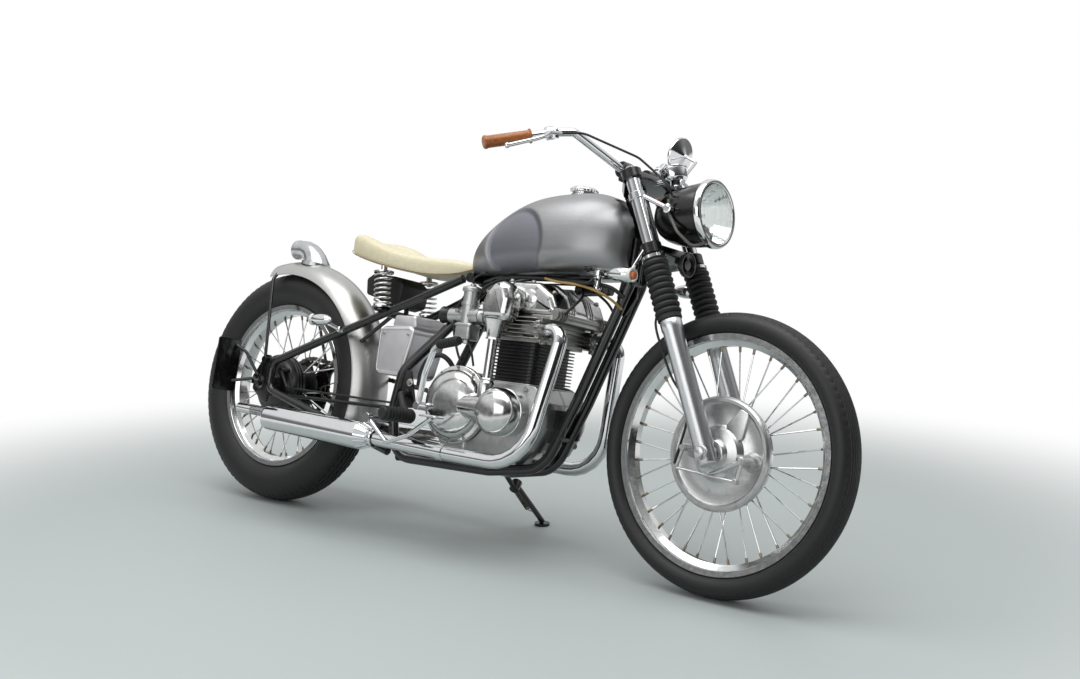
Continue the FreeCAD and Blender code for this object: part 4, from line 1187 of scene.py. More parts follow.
def drawRockerCover(bm):
    outline = [(-77, 262), (-75, 318), (-39, 347), (43, 347), (91, 318), (109, 284), (109, 262)]
    addPlate(bm, onCrank, outline, -116, 232, 22, 16, 7)
    rib = [(-35, 274), (-31, 350), (44, 351), (95, 321), (113, 286), (113, 274)]
    for y in (-53, -43, -33, 30, 40, 50):
        addPlate(bm, onCrank, rib, y, 4, 6, 1)
    for side in sides:
        for x, z in ((-58, 306), (-36, 330), (40, 330), (82, 304), (92, 274)):
            addScrew(bm, at(x, 115.5 * side, z), sideways * side, 4)
        addLathe(bm, [(0, -2), (25, -2), (25, 2), (22, 4), (0, 5)], at(20, 114 * side, 302),
                 sideways * side, 40)


def drawBevelTower(bm):
    foot = at(-52, -150, 34)
    addLathe(bm, [(0, 0), (21, 0), (21, 34), (20, 36), (17, 42), (13, 46), (13, 152), (17, 156), (18, 158),
                  (24, 186), (29, 202), (0, 202)], foot, upward, 40)
    for rise in (44, 150):
        addLathe(bm, [(0, 0), (20, 0), (20, 5), (0, 5)], foot + upward * rise, upward, 6)
    outline = [(-89, 232), (-93, 274), (-81, 310), (-60, 332), (-33, 340), (-9, 328), (5, 294), (1, 232)]
    addPlate(bm, onCrank, outline, -178, 66, 22, 24, 9)
    addPlate(bm, onCrank, outline, -150, 4, 22)


def domeOutline(radius, rise):
    inner = radius - 11
    outline = [(0, 0), (radius, 0), (radius, 11), (radius - 1, 13), (radius - 3, 14), (inner + 1, 14),
               (inner, 14.5)]
    for share in range(1, 13):
        angle = math.pi / 2 * share / 12
        outline.append((inner * math.cos(angle) ** 0.75 if share < 12 else 0,
                        14.5 + (rise - 0.5) * math.sin(angle)))
    return outline


def drawCovers(bm):
    addLathe(bm, domeOutline(engineLook["cover"], 44), at(-180, -104, 4), sideways * -1, 72)
    bevel = engineLook["bevel"]
    outline = [(0, 0), (bevel, 0), (bevel, 30), (bevel + 2, 31), (bevel + 2, 36), (bevel, 37), (bevel, 66)]
    outline += [(bevel - 5, 77), (bevel - 14, 86), (bevel - 26, 93), (bevel - 42, 97), (0, 98)]
    addLathe(bm, outline, at(0, -100, 0), sideways * -1, 64)
    addCone(bm, at(-153, -124, 5), at(-3, -138, 1), 30, 54)
    addLathe(bm, domeOutline(92, 30), at(0, 100, 0), sideways, 72)
    sprocketCover = [(-273, -84), (-243, -104), (-85, -104), (-85, 74), (-203, 78), (-269, 34)]
    addPlate(bm, onCrank, sprocketCover, 96, 18, 16, 4)
    for angle in (70, 190, 310):
        a = math.radians(angle)
        addScrew(bm, at(52 * math.cos(a), -166, 52 * math.sin(a)), sideways * -1, 4.2)


def drawCarburettors(bm):
    for side in sides:
        y = 86 * side
        addRod(bm, at(-201, y, 220), at(-201, y, 314), 23, 32)
        addLathe(bm, [(0, 0), (27, 0), (28, 2), (28, 8), (26, 12), (14, 16), (8, 17), (8, 22), (0, 22)],
                 at(-201, y, 312), upward, 32)
        addRod(bm, at(-201, y, 274), at(-201, y, 284), 26, 32)
        addRod(bm, at(-265, y, 244), at(-159, y, 248), 21, 32)
        addLathe(bm, [(15, 4), (15, -2), (17, -14), (22, -26), (24, -28), (23, -24), (20, -14), (20, 4),
                      (15, 4)], at(-263, y, 244), ahead, 36)
        addRod(bm, at(-262, y, 244), at(-258, y, 244), 17, 24)
        addBlock(bm, at(-227, y - 24, 180), at(-173, y + 24, 226), 8, 5)
        addBlock(bm, at(-230, y - 27, 216), at(-170, y + 27, 222), 8, 1)
        addLathe(bm, [(0, 0), (9, 0), (9, 10), (7, 12), (0, 12)], at(-200, y, 182), upward * -1, 6)
        addRod(bm, at(-165, y, 248), at(-60, 66 * side, 246), 19, 28)
        addRod(bm, at(-150, y * 0.98, 247.8), at(-142, y * 0.965, 247.6), 22, 28)
        addRod(bm, at(-224, y - 20 * side, 256), at(-224, y + 30 * side, 256), 5)
        for dx, dy in ((-22, -19), (22, -19), (-22, 19), (22, 19)):
            addScrew(bm, at(-200 + dx, y + dy, 216), upward * -1, 3.2)


# Exhaust: one header on each side into a cone-fronted silencer
mufflerFront = at(-385, 181, -119)
mufflerBack = Vector((128, 181, 257))


def drawExhaust(bm):
    way = (mufflerBack - mufflerFront).normalized()
    clamp = at(-124, 177, -126)
    for side in sides:
        path = [at(87, 117, 222), at(155, 129, 226), at(117, 174, -128), clamp, mufflerFront,
                mufflerFront + way * 45]
        addPipe(bm, toSide(path, side), engineLook["headerRadius"], 34, 115, 60, 60, segments=28)
        sleeve, on = toSide([clamp, mufflerFront], side)
        along = (on - sleeve).normalized()
        addRod(bm, sleeve + along * 12, sleeve + along * 34, engineLook["headerRadius"] + 2.5, 28)
        addBolt(bm, sleeve + along * 23 + upward * 16, upward * 0.4 + sideways * side, 9, 8)


def drawMufflers(bm):
    radius = engineLook["mufflerRadius"]
    for side in sides:
        front, back = toSide([mufflerFront, mufflerBack], side)
        length = (back - front).length
        way = (back - front).normalized()
        addRing(bm, [(20.6, 4), (24, 4), (25.5, 6), (25.5, 12), (24, 14), (24, 22), (radius - 1, 58),
                     (radius, 62), (radius, length - 16), (radius - 2, length - 8),
                     (radius - 6, length - 3), (radius - 12, length), (1, length), (1, 48), (19.1, 48),
                     (19.1, 34)], front, way, 56)
        for index in range(engineLook["flutes"]):
            around = 2 * math.pi * index / engineLook["flutes"]
            out = sideways * math.cos(around) + sideways.cross(way) * math.sin(around)
            addRod(bm, front + way * 20 + out * 22.5, front + way * 58 + out * (radius - 2.5), 4, 12, 1.5)
        start = back - way * 20 + upward * 12
        addRing(bm, [(13, 90), (15, 90), (15, 0), (0.5, 0), (0.5, 2), (13, 4)][::-1], start, way, 32)
        addRing(bm, [(13, 0), (15, 0), (15, 149), (14, 150), (13, 149)], start, way, 32)
        addRod(bm, Vector((330, 150 * side, 256)), Vector((330, 112 * side, 268)), 7)


# Foot controls, chain and rear brake
def drawPegs(bm):
    for side in sides:
        outline = [(0, 0), (17, 0)]
        for rib in range(engineLook["pegRibs"]):
            start = 4 + rib * 12
            outline += [(17, start), (20, start + 1), (20, start + 7), (17, start + 8)]
        outline += [(17, 110), (14, 114), (0, 114)]
        addLathe(bm, outline, at(-275, 175 * side, -45), sideways * side, 32)
        arm = [at(-362, 118, 12), at(-362, 136, 12), at(-325, 158, -21), at(-275, 184, -45)]
        addPipe(bm, toSide(arm, side), 9, 10, 14)


def drawLevers(bm):
    addPipe(bm, [at(-405, -204, -66), at(-317, -212, -123), at(-243, -214, -96), at(-159, -222, -40)], 6,
            14)
    addRod(bm, at(-405, -122, -66), at(-405, -212, -66), 9)
    addRod(bm, at(-405, -196, -66), at(-405, -214, -66), 14)
    addBlock(bm, at(-189, -244, -40), at(-127, -206, -35), 8, 1.5)
    for index in range(6):
        addRod(bm, at(-182 + index * 10, -242, -34.5), at(-182 + index * 10, -208, -34.5), 1.6, 8)
    addPipe(bm, [at(-325, 205, -82), at(-221, 210, -78), at(-127, 214, -50)], 6, 14)
    addRod(bm, at(-221, 108, -78), at(-221, 218, -78), 8)
    addRod(bm, at(-127, 208, -50), at(-127, 252, -50), 9)
    addPipe(bm, [at(-259, -172, -14), at(-239, -186, 74), at(-199, -208, 139), at(-169, -222, 154)],
            8, 40, 12)
    addRod(bm, at(-259, -104, -14), at(-259, -182, -14), 11)
    outline = [(0, 0), (11, 0)]
    for rib in range(7):
        outline += [(11, 4 + rib * 10), (13, 5 + rib * 10), (13, 11 + rib * 10), (11, 12 + rib * 10)]
    addLathe(bm, outline + [(11, 80), (0, 81)], at(-175, -219, 152), Vector((79, -11, 15)), 28)


chainLook = {"pitch": 15.875, "frontRadius": 44, "backRadius": 96}


def pitchLine(steps):
    # the chain's line round both sprockets, in even steps
    front, back = at(-230, 84, -36), rear(0, 84, 0)
    frontRadius, backRadius = chainLook["frontRadius"], chainLook["backRadius"]
    along = Vector((front.x - back.x, 0, front.z - back.z))
    tilt = math.asin((backRadius - frontRadius) / along.length)
    along.normalize()
    normal = Vector((-along.z, 0, along.x))
    wayUp = normal * math.cos(tilt) + along * math.sin(tilt)
    wayDown = normal * -math.cos(tilt) + along * math.sin(tilt)
    dense = []
    arcs = ((front, frontRadius, wayUp, wayDown, along), (back, backRadius, wayDown, wayUp, along * -1))
    for centre, radius, first, last, through in arcs:
        for start, end in ((first, through), (through, last)):
            dense += [centre + (start * (1 - k / 24) + end * (k / 24)).normalized() * radius
                      for k in range(24)]
        dense.append(centre + last * radius)
    dense.append(dense[0])
    lengths = [0]
    for a, b in zip(dense, dense[1:]):
        lengths.append(lengths[-1] + (b - a).length)
    total = lengths[-1]
    links = round(total / chainLook["pitch"])
    points, index = [], 0
    for k in range(links * steps):
        want = total * k / (links * steps)
        while lengths[index + 1] < want:
            index += 1
        share = (want - lengths[index]) / (lengths[index + 1] - lengths[index])
        points.append(dense[index].lerp(dense[index + 1], share))
    return points


def drawChain(bm):
    points = pitchLine(4)
    count = len(points)
    plate, roller = (7, 6.2, 4.6, 6.2), (3.6, 2.4, 2.4, 2.4)
    for y, thickness, halves in ((-6, 1.6, plate), (-4.2, 8.4, roller), (4.4, 1.6, plate)):
        rows = []
        for index, point in enumerate(points):
            normal = (points[(index + 1) % count] - points[index - 1]).cross(sideways).normalized()
            half = halves[index % 4]
            rows.append([bm.verts.new(point + normal * (half * a) + sideways * (y + b * thickness))
                         for a, b in ((-1, 0), (1, 0), (1, 1), (-1, 1))])
        joinRings(bm, rows, True, False)
    for point in points[::4]:
        addLathe(bm, [(0, 0), (2.3, 0), (2.3, 14), (0, 14)], point - sideways * 7, sideways, 8)


def drawRearBrake(bm):
    addRing(bm, [(9.2, 0), (92, 0), (92, 8), (80, 10), (76, 14), (70, 20), (60, 22), (38, 26), (30, 58),
                 (28, 60), (9.2, 60)], rear(0, -46, 0), sideways * -1, 72)
    cam = rear(52, -60, 44)
    addRod(bm, cam, cam - sideways * 36, 8)
    addRod(bm, cam - sideways * 33, rear(92, -93, -6), 5)
    addRod(bm, rear(92, -93, -6), at(-409, -96, -16), 3)
    addRod(bm, rear(62, -64, -30), rear(62, -92, -30), 8)
    addRod(bm, rear(62, -90, -30), at(-405, -90, -30), 5)


# Tank: a lofted steel shell with a pressed knee recess on each side and its tap
tankLook = {"voxel": 0.0032, "smoothRounds": 4, "kneeX": -60, "kneeZ": 446, "kneeHalfX": 112,
            "kneeHalfZ": 106, "kneeDepth": 9, "floor": 365, "floorRise": 0.045, "segments": 72}
tankStations = [  # x, half width, top, how far the widest level lies above the floor
    (-248, 34, 425, 20), (-240, 58, 446, 32), (-213, 82, 477, 44), (-173, 100, 514, 54),
    (-115, 114, 554, 62), (-47, 127, 583, 65),
    (30, 134, 597, 65), (125, 133, 602, 65), (180, 124, 592, 66), (225, 106, 574, 70), (252, 84, 552, 76),
    (268, 60, 526, 84)]


def tankRing(station):
    x, half, top, belly = station
    floor = tankLook["floor"] + (x + 265) * tankLook["floorRise"]
    ring = []
    for step in range(tankLook["segments"]):
        angle = 2 * math.pi * step / tankLook["segments"]
        c, s = math.cos(angle), math.sin(angle)
        middle = floor + belly
        rise = top - middle if s > 0 else belly + 14
        z = middle + rise * math.copysign(abs(s) ** 0.85, s)
        ring.append(at(x, half * math.copysign(abs(c) ** 0.85, c), max(z, floor)))
    return ring


def smoothStations(stations, steps):
    return [tuple(row) for row in smoothLine([Vector(station) for station in stations], steps)]


def makeTank():
    bm = bmesh.new()
    stations = smoothStations(tankStations, 4)
    rows = [[bm.verts.new(point) for point in tankRing(station)] for station in stations]
    joinRings(bm, rows)
    bmesh.ops.recalc_face_normals(bm, faces=bm.faces)
    bm.transform(onChassis)
    rough = bpy.data.meshes.new("tank_form")
    bm.to_mesh(rough)
    bm.free()
    # the room for the backbone and the steering head
    bm = bmesh.new()
    tail = seatNode + (seatNode - backboneHead).normalized() * 90
    head = backboneHead + (backboneHead - seatNode).normalized() * 90
    channel = [(tail.x, tail.z - 160), (head.x, head.z - 260), (head.x, head.z + 22), (tail.x, tail.z + 22)]
    addPlate(bm, onMidPlane, channel, -26, 52)
    addPlate(bm, onMidPlane, [(p.x, p.z) for p in (fork(380, 0, 200), fork(760, 0, 200), fork(760, 0, -34),
                            fork(640, 0, -55), fork(380, 0, -160))], -42, 84)
    bmesh.ops.recalc_face_normals(bm, faces=bm.faces)
    bm.transform(onChassis)
    room = bpy.data.meshes.new("backbone_room")
    bm.to_mesh(room)
    bm.free()
    source, cutter = bpy.data.objects.new("tank_form", rough), bpy.data.objects.new("backbone_room", room)
    for item in (source, cutter):
        bpy.context.scene.collection.objects.link(item)
    cut = source.modifiers.new("tunnel", "BOOLEAN")
    cut.operation = "DIFFERENCE"
    cut.solver = "EXACT"
    cut.use_self = True
    cut.object = cutter
    grid = source.modifiers.new("grid", "REMESH")
    grid.mode = "VOXEL"
    grid.voxel_size = tankLook["voxel"]
    ease = source.modifiers.new("ease", "SMOOTH")
    ease.factor = 0.5
    ease.iterations = tankLook["smoothRounds"]
    mesh = bpy.data.meshes.new_from_object(source.evaluated_get(bpy.context.evaluated_depsgraph_get()))
    bpy.data.objects.remove(source)
    bpy.data.objects.remove(cutter)
    mesh.name = "tank_shell"
    back = onChassis.inverted()
    turn = onChassis.to_3x3()
    for vertex in mesh.vertices:
        own = back @ vertex.co - crank
        u = (own.x - tankLook["kneeX"]) / tankLook["kneeHalfX"]
        v = (own.z - tankLook["kneeZ"]) / tankLook["kneeHalfZ"]
        reach = math.hypot(u, v)
        if reach < 1 and abs(own.y) > 40:
            share = min(1, (1 - reach) / 0.2)
            share = share * share * (3 - 2 * share)
            vertex.co -= turn @ (sideways * (math.copysign(1, own.y) * share * tankLook["kneeDepth"]))
    finishPiece("tank_shell", mesh, "chassis", made["bare_tank_steel"], ("fuel_tank",),
                50)
    bm = bmesh.new()
    seat = at(200, -74, 396)
    addRod(bm, seat, seat - upward * 46, 9)
    addRod(bm, seat - upward * 30, seat + Vector((0, -20, -30)), 5)
    addRod(bm, seat - upward * 20, seat - upward * 8, 14)
    addLathe(bm, [(0, 0), (10, 0), (11, 4), (8, 14), (0, 14)], seat - upward * 46, upward * -1, 24)
    makePiece("fuel_tap", bm, onChassis, "chassis", made["chromed_steel"])
    bm = bmesh.new()
    cap = at(62, 0, 596)
    addLathe(bm, [(0, -4), (34, -4), (34, 4), (31, 7), (31, 10), (36, 11), (37, 13), (37, 19), (35.5, 21),
                  (31, 24), (14, 26.5), (0, 27)], cap, upward, 56)
    for index in range(24):
        around = 2 * math.pi * index / 24
        out = Vector((math.cos(around), math.sin(around), 0))
        addRod(bm, cap + out * 36.6 + upward * 12, cap + out * 36.6 + upward * 20, 1.5, 8)
    makePiece("filler_cap_form", bm, onChassis, "chassis", made["chromed_steel"],
              ("filler_cap",))


makeTank()
print("tank done")


# Headlamp: a clear fluted lens over a bright reflector and its bulb
glass = newMaterial("pressed lamp glass", {
    "colour": "#f4f7f6", "tint": "#eef2f1", "metallic": 0.0, "roughness": (0.01, 0.03),
    "grainMm": 30, "reliefMm": 0.02,
    "shader": {"Transmission Weight": 1.0, "IOR": 1.45}})
reflectorSilver = newMaterial("silvered reflector", {
    "colour": "#eceded", "tint": "#f4f4f4", "metallic": 1.0, "roughness": (0.06, 0.12),
    "grainMm": 20, "reliefMm": 0.02})
lampLook = {"radius": 73.6, "bowlDepth": 58, "flutes": 24, "fluteRise": 0.5, "domeRise": 10, "rings": 14,
            "around": 120}


def lampPoint(radius, angle, height):
    other = lamp["axis"].cross(sideways)
    middle = lamp["centre"] + lamp["axis"] * height
    return middle + sideways * (radius * math.cos(angle)) + other * (radius * math.sin(angle))


def discGrid(bm, heightOf, rings, around, radius):
    middle = bm.verts.new(lampPoint(0, 0, heightOf(0, 0)))
    rows = []
    for ring in range(1, rings + 1):
        reach = radius * ring / rings
        rows.append([bm.verts.new(lampPoint(reach, 2 * math.pi * k / around,
                                heightOf(reach, 2 * math.pi * k / around))) for k in range(around)])
    for k in range(around):
        bm.faces.new((middle, rows[0][k], rows[0][(k + 1) % around]))
    joinRings(bm, rows, capped=False)
    return rows[-1]


def makeHeadlamp():
    edge = lampLook["radius"]

    def lensFront(reach, angle):
        flute = abs(math.sin(reach * math.cos(angle) / edge * lampLook["flutes"] * 0.5))
        fade = min(1, (edge - reach) / 8)
        return lampLook["domeRise"] * (1 - (reach / edge) ** 2) + lampLook["fluteRise"] * flute * fade

    def lensBack(reach, angle):
        return -3 + lampLook["domeRise"] * (1 - (reach / edge) ** 2)

    bm = bmesh.new()
    front = discGrid(bm, lensFront, lampLook["rings"] * 2, lampLook["around"], edge)
    back = discGrid(bm, lensBack, lampLook["rings"], lampLook["around"], edge)
    for k in range(lampLook["around"]):
        after = (k + 1) % lampLook["around"]
        bm.faces.new((front[k], front[after], back[after], back[k]))
    makePiece("headlamp_lens", bm, onFork, "steering_assembly", glass, ("headlamp_glass",),
              60)
    bm = bmesh.new()
    discGrid(bm, lambda reach, angle: -4 - lampLook["bowlDepth"] * (1 - (reach / edge) ** 2), 16, 72, edge)
    makePiece("headlamp_reflector", bm, onFork, "steering_assembly", reflectorSilver, (),
              60)
    bm = bmesh.new()
    start = lamp["centre"] - lamp["axis"] * 60
    addLathe(bm, [(0, 0), (11, 0), (11, 4), (6, 5), (6, 8), (8, 12), (7, 17), (3, 20), (0, 20.5)], start,
             lamp["axis"], 24)
    makePiece("headlamp_bulb", bm, onFork, "steering_assembly", glass)


makeHeadlamp()


# Speedometer face: a black dial with plain ticks and a red needle
dialBlack = newMaterial("printed black dial", {
    "colour": "#0a0a0b", "tint": "#101011", "metallic": 0.0, "roughness": (0.35, 0.45),
    "grainMm": 2, "reliefMm": 0.01})
dialWhite = newMaterial("white dial print", {
    "colour": "#e8e8e4", "tint": "#f0f0ec", "metallic": 0.0, "roughness": (0.4, 0.5),
    "grainMm": 2, "reliefMm": 0.01})
needleRed = newMaterial("red needle lacquer", {
    "colour": "#b5261c", "tint": "#a51f18", "metallic": 0.0, "roughness": (0.3, 0.4),
    "grainMm": 2, "reliefMm": 0.01})
dial = {"base": fork(698, 0, 122), "way": Vector((-0.33, 0, 0.944)).normalized(), "radius": 28.5,
        "ticks": 13, "sweepDeg": 260}


def addBar(bm, middle, along, across, normal, length, width, height):
    corners = [middle + along * (a * length / 2) + across * (b * width / 2) + normal * (c * height / 2)
               for a in (-1, 1) for b in (-1, 1) for c in (-1, 1)]
    verts = [bm.verts.new(corner) for corner in corners]
    for face in ((0, 1, 3, 2), (4, 6, 7, 5), (0, 4, 5, 1), (2, 3, 7, 6), (0, 2, 6, 4), (1, 5, 7, 3)):
        bm.faces.new([verts[k] for k in face])


def makeDial():
    way = dial["way"]
    middle = dial["base"] + way * 34
    bm = bmesh.new()
    addLathe(bm, [(0, 0), (dial["radius"], 0), (dial["radius"], 0.6), (0, 0.8)], middle, way, 40)
    makePiece("speedometer_face", bm, onFork, "steering_assembly", dialBlack)
    upDial = way.cross(sideways) * -1
    bm = bmesh.new()
    for tick in range(dial["ticks"]):
        angle = math.radians(-dial["sweepDeg"] / 2 + dial["sweepDeg"] * tick / (dial["ticks"] - 1))
        out = upDial * math.cos(angle) - sideways * math.sin(angle)
        length = 6 if tick % 2 == 0 else 4
        addBar(bm, middle + way + out * (dial["radius"] - 1.5 - length / 2), out, out.cross(way), way,
               length, 1.1, 0.5)
    makePiece("speedometer_ticks", bm, onFork, "steering_assembly", dialWhite)
    bm = bmesh.new()
    angle = math.radians(-dial["sweepDeg"] / 2)
    out = upDial * math.cos(angle) - sideways * math.sin(angle)
    addBar(bm, middle + way * 2 + out * 8, out, out.cross(way), way, 24, 1.4, 0.6)
    addLathe(bm, [(0, 0), (3, 0), (3, 2.6), (0, 3)], middle + way * 0.6, way, 20)
    makePiece("speedometer_needle", bm, onFork, "steering_assembly", needleRed)


makeDial()
print("lamp and dial done")


# Steering: yokes with bar clamps and horn, fork legs with bellows, bar, levers, lamp, mirror and dial
forkLook = {"half": 92, "offset": 57, "tube": 18, "slider": 25, "gaiter": 33, "ribs": 9, "lower": 506,
            "top": 716, "bar": 11, "grip": 15.5, "gripLength": 116}
barCentre = fork(772, 0, 17.5)


def barPoint(forward, side, rise):
    return barCentre + Vector((forward, side, rise))


barBend = barPoint(-87, 235, 58)
barEnd = barPoint(-186, 380, 2)
gripWay = (barEnd - barBend).normalized()


def addYoke(bm, along, height, tubeBoss):
    half, offset = forkLook["half"], forkLook["offset"]
    outline = [(-half, offset + 17), (half, offset + 17), (half + 16, offset - 12), (26, -22), (-26, -22),
               (-half - 16, offset - 12)]
    addPlate(bm, lambda u, v, w: fork(along + w, u, v), outline, 3, height - 6, 10, 2)
    addRod(bm, fork(along, 0, 0), fork(along + height, 0, 0), 30, 36, 2)
    for side in sides:
        place = half * side
        addRod(bm, fork(along, place, offset), fork(along + height, place, offset), tubeBoss, 40, 2)
        level = along + height / 2
        addBolt(bm, fork(level, place + 14, offset - 26), sideways, 10, 6)
        addRod(bm, fork(level, place - 14, offset - 26), fork(level, place + 14, offset - 26), 7)


def drawYokes(bm):
    addYoke(bm, forkLook["lower"], 30, 27)
    addYoke(bm, forkLook["top"], 26, 26)
    for side in sides:
        middle = barCentre + sideways * (52 * side)
        addRod(bm, fork(738, 52 * side, 17.5), middle, 13, 28)
        addRod(bm, middle - sideways * 14, middle + sideways * 14, 18, 36)
        for rib in range(4):
            start = middle + sideways * (-14 + 8 * rib)
            addRod(bm, start, start + sideways * 4, 21.5, 36)
    back = fork(496, 16, 66)
    addLathe(bm, [(0, 0), (18, 0), (20, 8), (31, 12), (33, 20), (31, 23), (28, 23), (27, 20), (14, 17),
                  (13, 19), (0, 20)], back, ahead, 40)
    for radius in (16, 19, 22, 25):
        addLathe(bm, [(radius - 0.7, 17), (radius, 20.6), (radius + 0.7, 17)], back, ahead, 40)
    addRod(bm, fork(518, 16, 51), back + ahead * 4, 8)
    addRod(bm, fork(506, 0, 0), fork(742, 0, 0), 14)
    addBolt(bm, fork(741, 0, 0), steerAxis, 30, 10)


lampPivot = lamp["centre"] - lamp["axis"] * 84 + upward * 4


def drawForkTubes(bm):
    half, offset = forkLook["half"], forkLook["offset"]
    for side in sides:
        place = half * side
        addRod(bm, fork(300, place, offset), fork(746, place, offset), forkLook["tube"], 36)
        pivot = lampPivot + sideways * (87 * side)
        addRod(bm, fork(659, place, offset), fork(677, place, offset), 22, 36, 1.5)
        addRod(bm, fork(668, place, offset + 12), pivot, 6)
        band = forkLook["gaiter"] - 4.2
        addRing(bm, [(band, 0), (band + 2, 0.6), (band + 2, 8.4), (band, 9)],
                fork(forkLook["lower"] - 13, place, offset), steerAxis, 40)
        addRod(bm, pivot + sideways * (9 * side), pivot - sideways * (8 * side), 9)
        addBolt(bm, pivot + sideways * (9 * side), sideways * side, 14, 6)


def drawGaiters(bm):
    pitch = (forkLook["lower"] - 334 - 28) / forkLook["ribs"]
    wide = forkLook["gaiter"]
    for side in sides:
        outline = [(18.3, 0), (wide - 4, 0), (wide - 3, 1), (wide - 3, 11), (wide - 4, 12)]
        for rib in range(forkLook["ribs"]):
            for k in range(8):
                share = k / 8
                outline.append((wide - 6 + 6 * math.sin(math.pi * share) ** 0.8,
                                12 + (rib + share) * pitch))
        high = 12 + forkLook["ribs"] * pitch
        outline += [(wide - 6, high), (wide - 4, high + 3), (wide - 4, high + 13), (18.3, high + 13)]
        addRing(bm, outline, fork(334, forkLook["half"] * side, forkLook["offset"]), steerAxis, 40)


def drawSliders(bm):
    wide = forkLook["slider"]
    for side in sides:
        base = fork(-30, forkLook["half"] * side, forkLook["offset"])
        addLathe(bm, [(0, 0), (20, 0), (22, 2), (23, 4), (23, 44), (wide, 52), (wide, 334), (27, 340),
                      (27, 362), (25.5, 364), (0, 364)], base, steerAxis, 44)
        nut = frontAxle + sideways * (112 * side)
        addBolt(bm, nut, sideways * side, 22, 12)
        addRod(bm, fork(-2, 92 * side + 24 * side, 57), fork(-2, 92 * side - 24 * side, 57), 17, 32)
    addRod(bm, frontAxle - sideways * 118, frontAxle + sideways * 118, 9)


def drawBar(bm):
    half = [barPoint(0, 66, 0), barPoint(-60, 200, 66), barBend, barEnd]
    addPipe(bm, toSide(half[::-1], -1) + half, forkLook["bar"], 30, 24, 22, 22, 24, 30, segments=24)


def drawGrips(bm):
    wide = forkLook["grip"]
    length = forkLook["gripLength"]
    for side in sides:
        end, way = toSide([barEnd, gripWay], side)
        start = end - way * length
        outline = [(11.2, 0), (wide + 3, 0), (wide + 3, 3), (wide + 1, 4.5), (wide, 6), (wide, length - 4)]
        outline += [(wide + 1.5, length - 2), (wide + 1.5, length + 3), (wide - 1, length + 6),
                    (0, length + 6)]
        addLathe(bm, [(0, 0)] + outline, start, way, 36)


def drawHandLevers(bm):
    for side in sides:
        middle, way = toSide([barBend + gripWay * 18, gripWay], side)
        addRod(bm, middle - way * 11, middle + way * 11, 17, 32, 2)
        pivot = barBend + gripWay * 18 + Vector((30, 12, -6))
        tip = barPoint(-92, 402, -14)
        blade = [pivot - gripWay * 14, pivot + Vector((6, 30, -2)), barPoint(-40, 330, 22), tip]
        addPipe(bm, toSide(blade, side), 5, 14, 50)
        own = mirrored(pivot, side)
        addRod(bm, middle, own, 8)
        addRod(bm, own - upward * 10, own + upward * 10, 9)
        addBolt(bm, own + upward * 10, upward, 9, 4, False)
        addBall(bm, mirrored(tip, side), 7)


def drawLampShell(bm):
    axis = lamp["axis"]
    outline = [(0, 0), (18, 2), (34, 8), (48, 19), (60, 36), (68, 56), (74, 80), (77.5, 106), (79.5, 130),
               (80, 146), (80, 152)]
    outline += [(83, 152.5), (85, 154), (86.2, 158), (86.2, 165), (85, 170), (82, 172.5), (77, 172.5),
                (74, 170), (74, 150), (72, 128), (66, 104)]
    outline += [(52, 80), (30, 64), (0, 58)]
    addLathe(bm, outline, lamp["centre"] - axis * 172, axis, 96)


def drawMirror(bm):
    axis = Vector((0.985, -0.05, -0.165)).normalized()
    middle = barPoint(-86, 300, 122)
    addLathe(bm, [(0, -0.5), (47, -0.5), (48, -2), (50, -2), (51, 0), (51, 4), (49, 7), (30, 13), (14, 18),
                  (6, 22), (5, 26), (0, 26)], middle, axis, 64)
    tip = middle + axis * 24
    way = (barPoint(-60, 200, 66) - barPoint(0, 66, 0)).normalized()
    foot = barPoint(0, 66, 0) + way * 92
    addPipe(bm, [tip, barPoint(-27, 300, 101), barPoint(-4, 216, 38), foot], 4, 8, 8)
    addRod(bm, foot - way * 13, foot + way * 13, 15, 28)
    addBall(bm, tip, 6)


def drawDialShell(bm):
    way = dial["way"]
    addLathe(bm, [(0, 0), (24, 0), (29, 5), (31, 9), (31, 29), (33, 31), (33.5, 34), (33, 37), (31, 38),
                  (29, 37), (29, 34), (0, 34)], dial["base"], way, 48)
    addRod(bm, fork(726, 0, 57), dial["base"] + way * 10, 6)


def drawFrontIndicators(bm):
    for side in sides:
        tail = fork(460, 146 * side, 22)
        addBullet(bm, tail, tail - ahead * 80, 18)
        addRod(bm, fork(462, 144 * side, 0), fork(520, 114 * side, 49), 4.5)


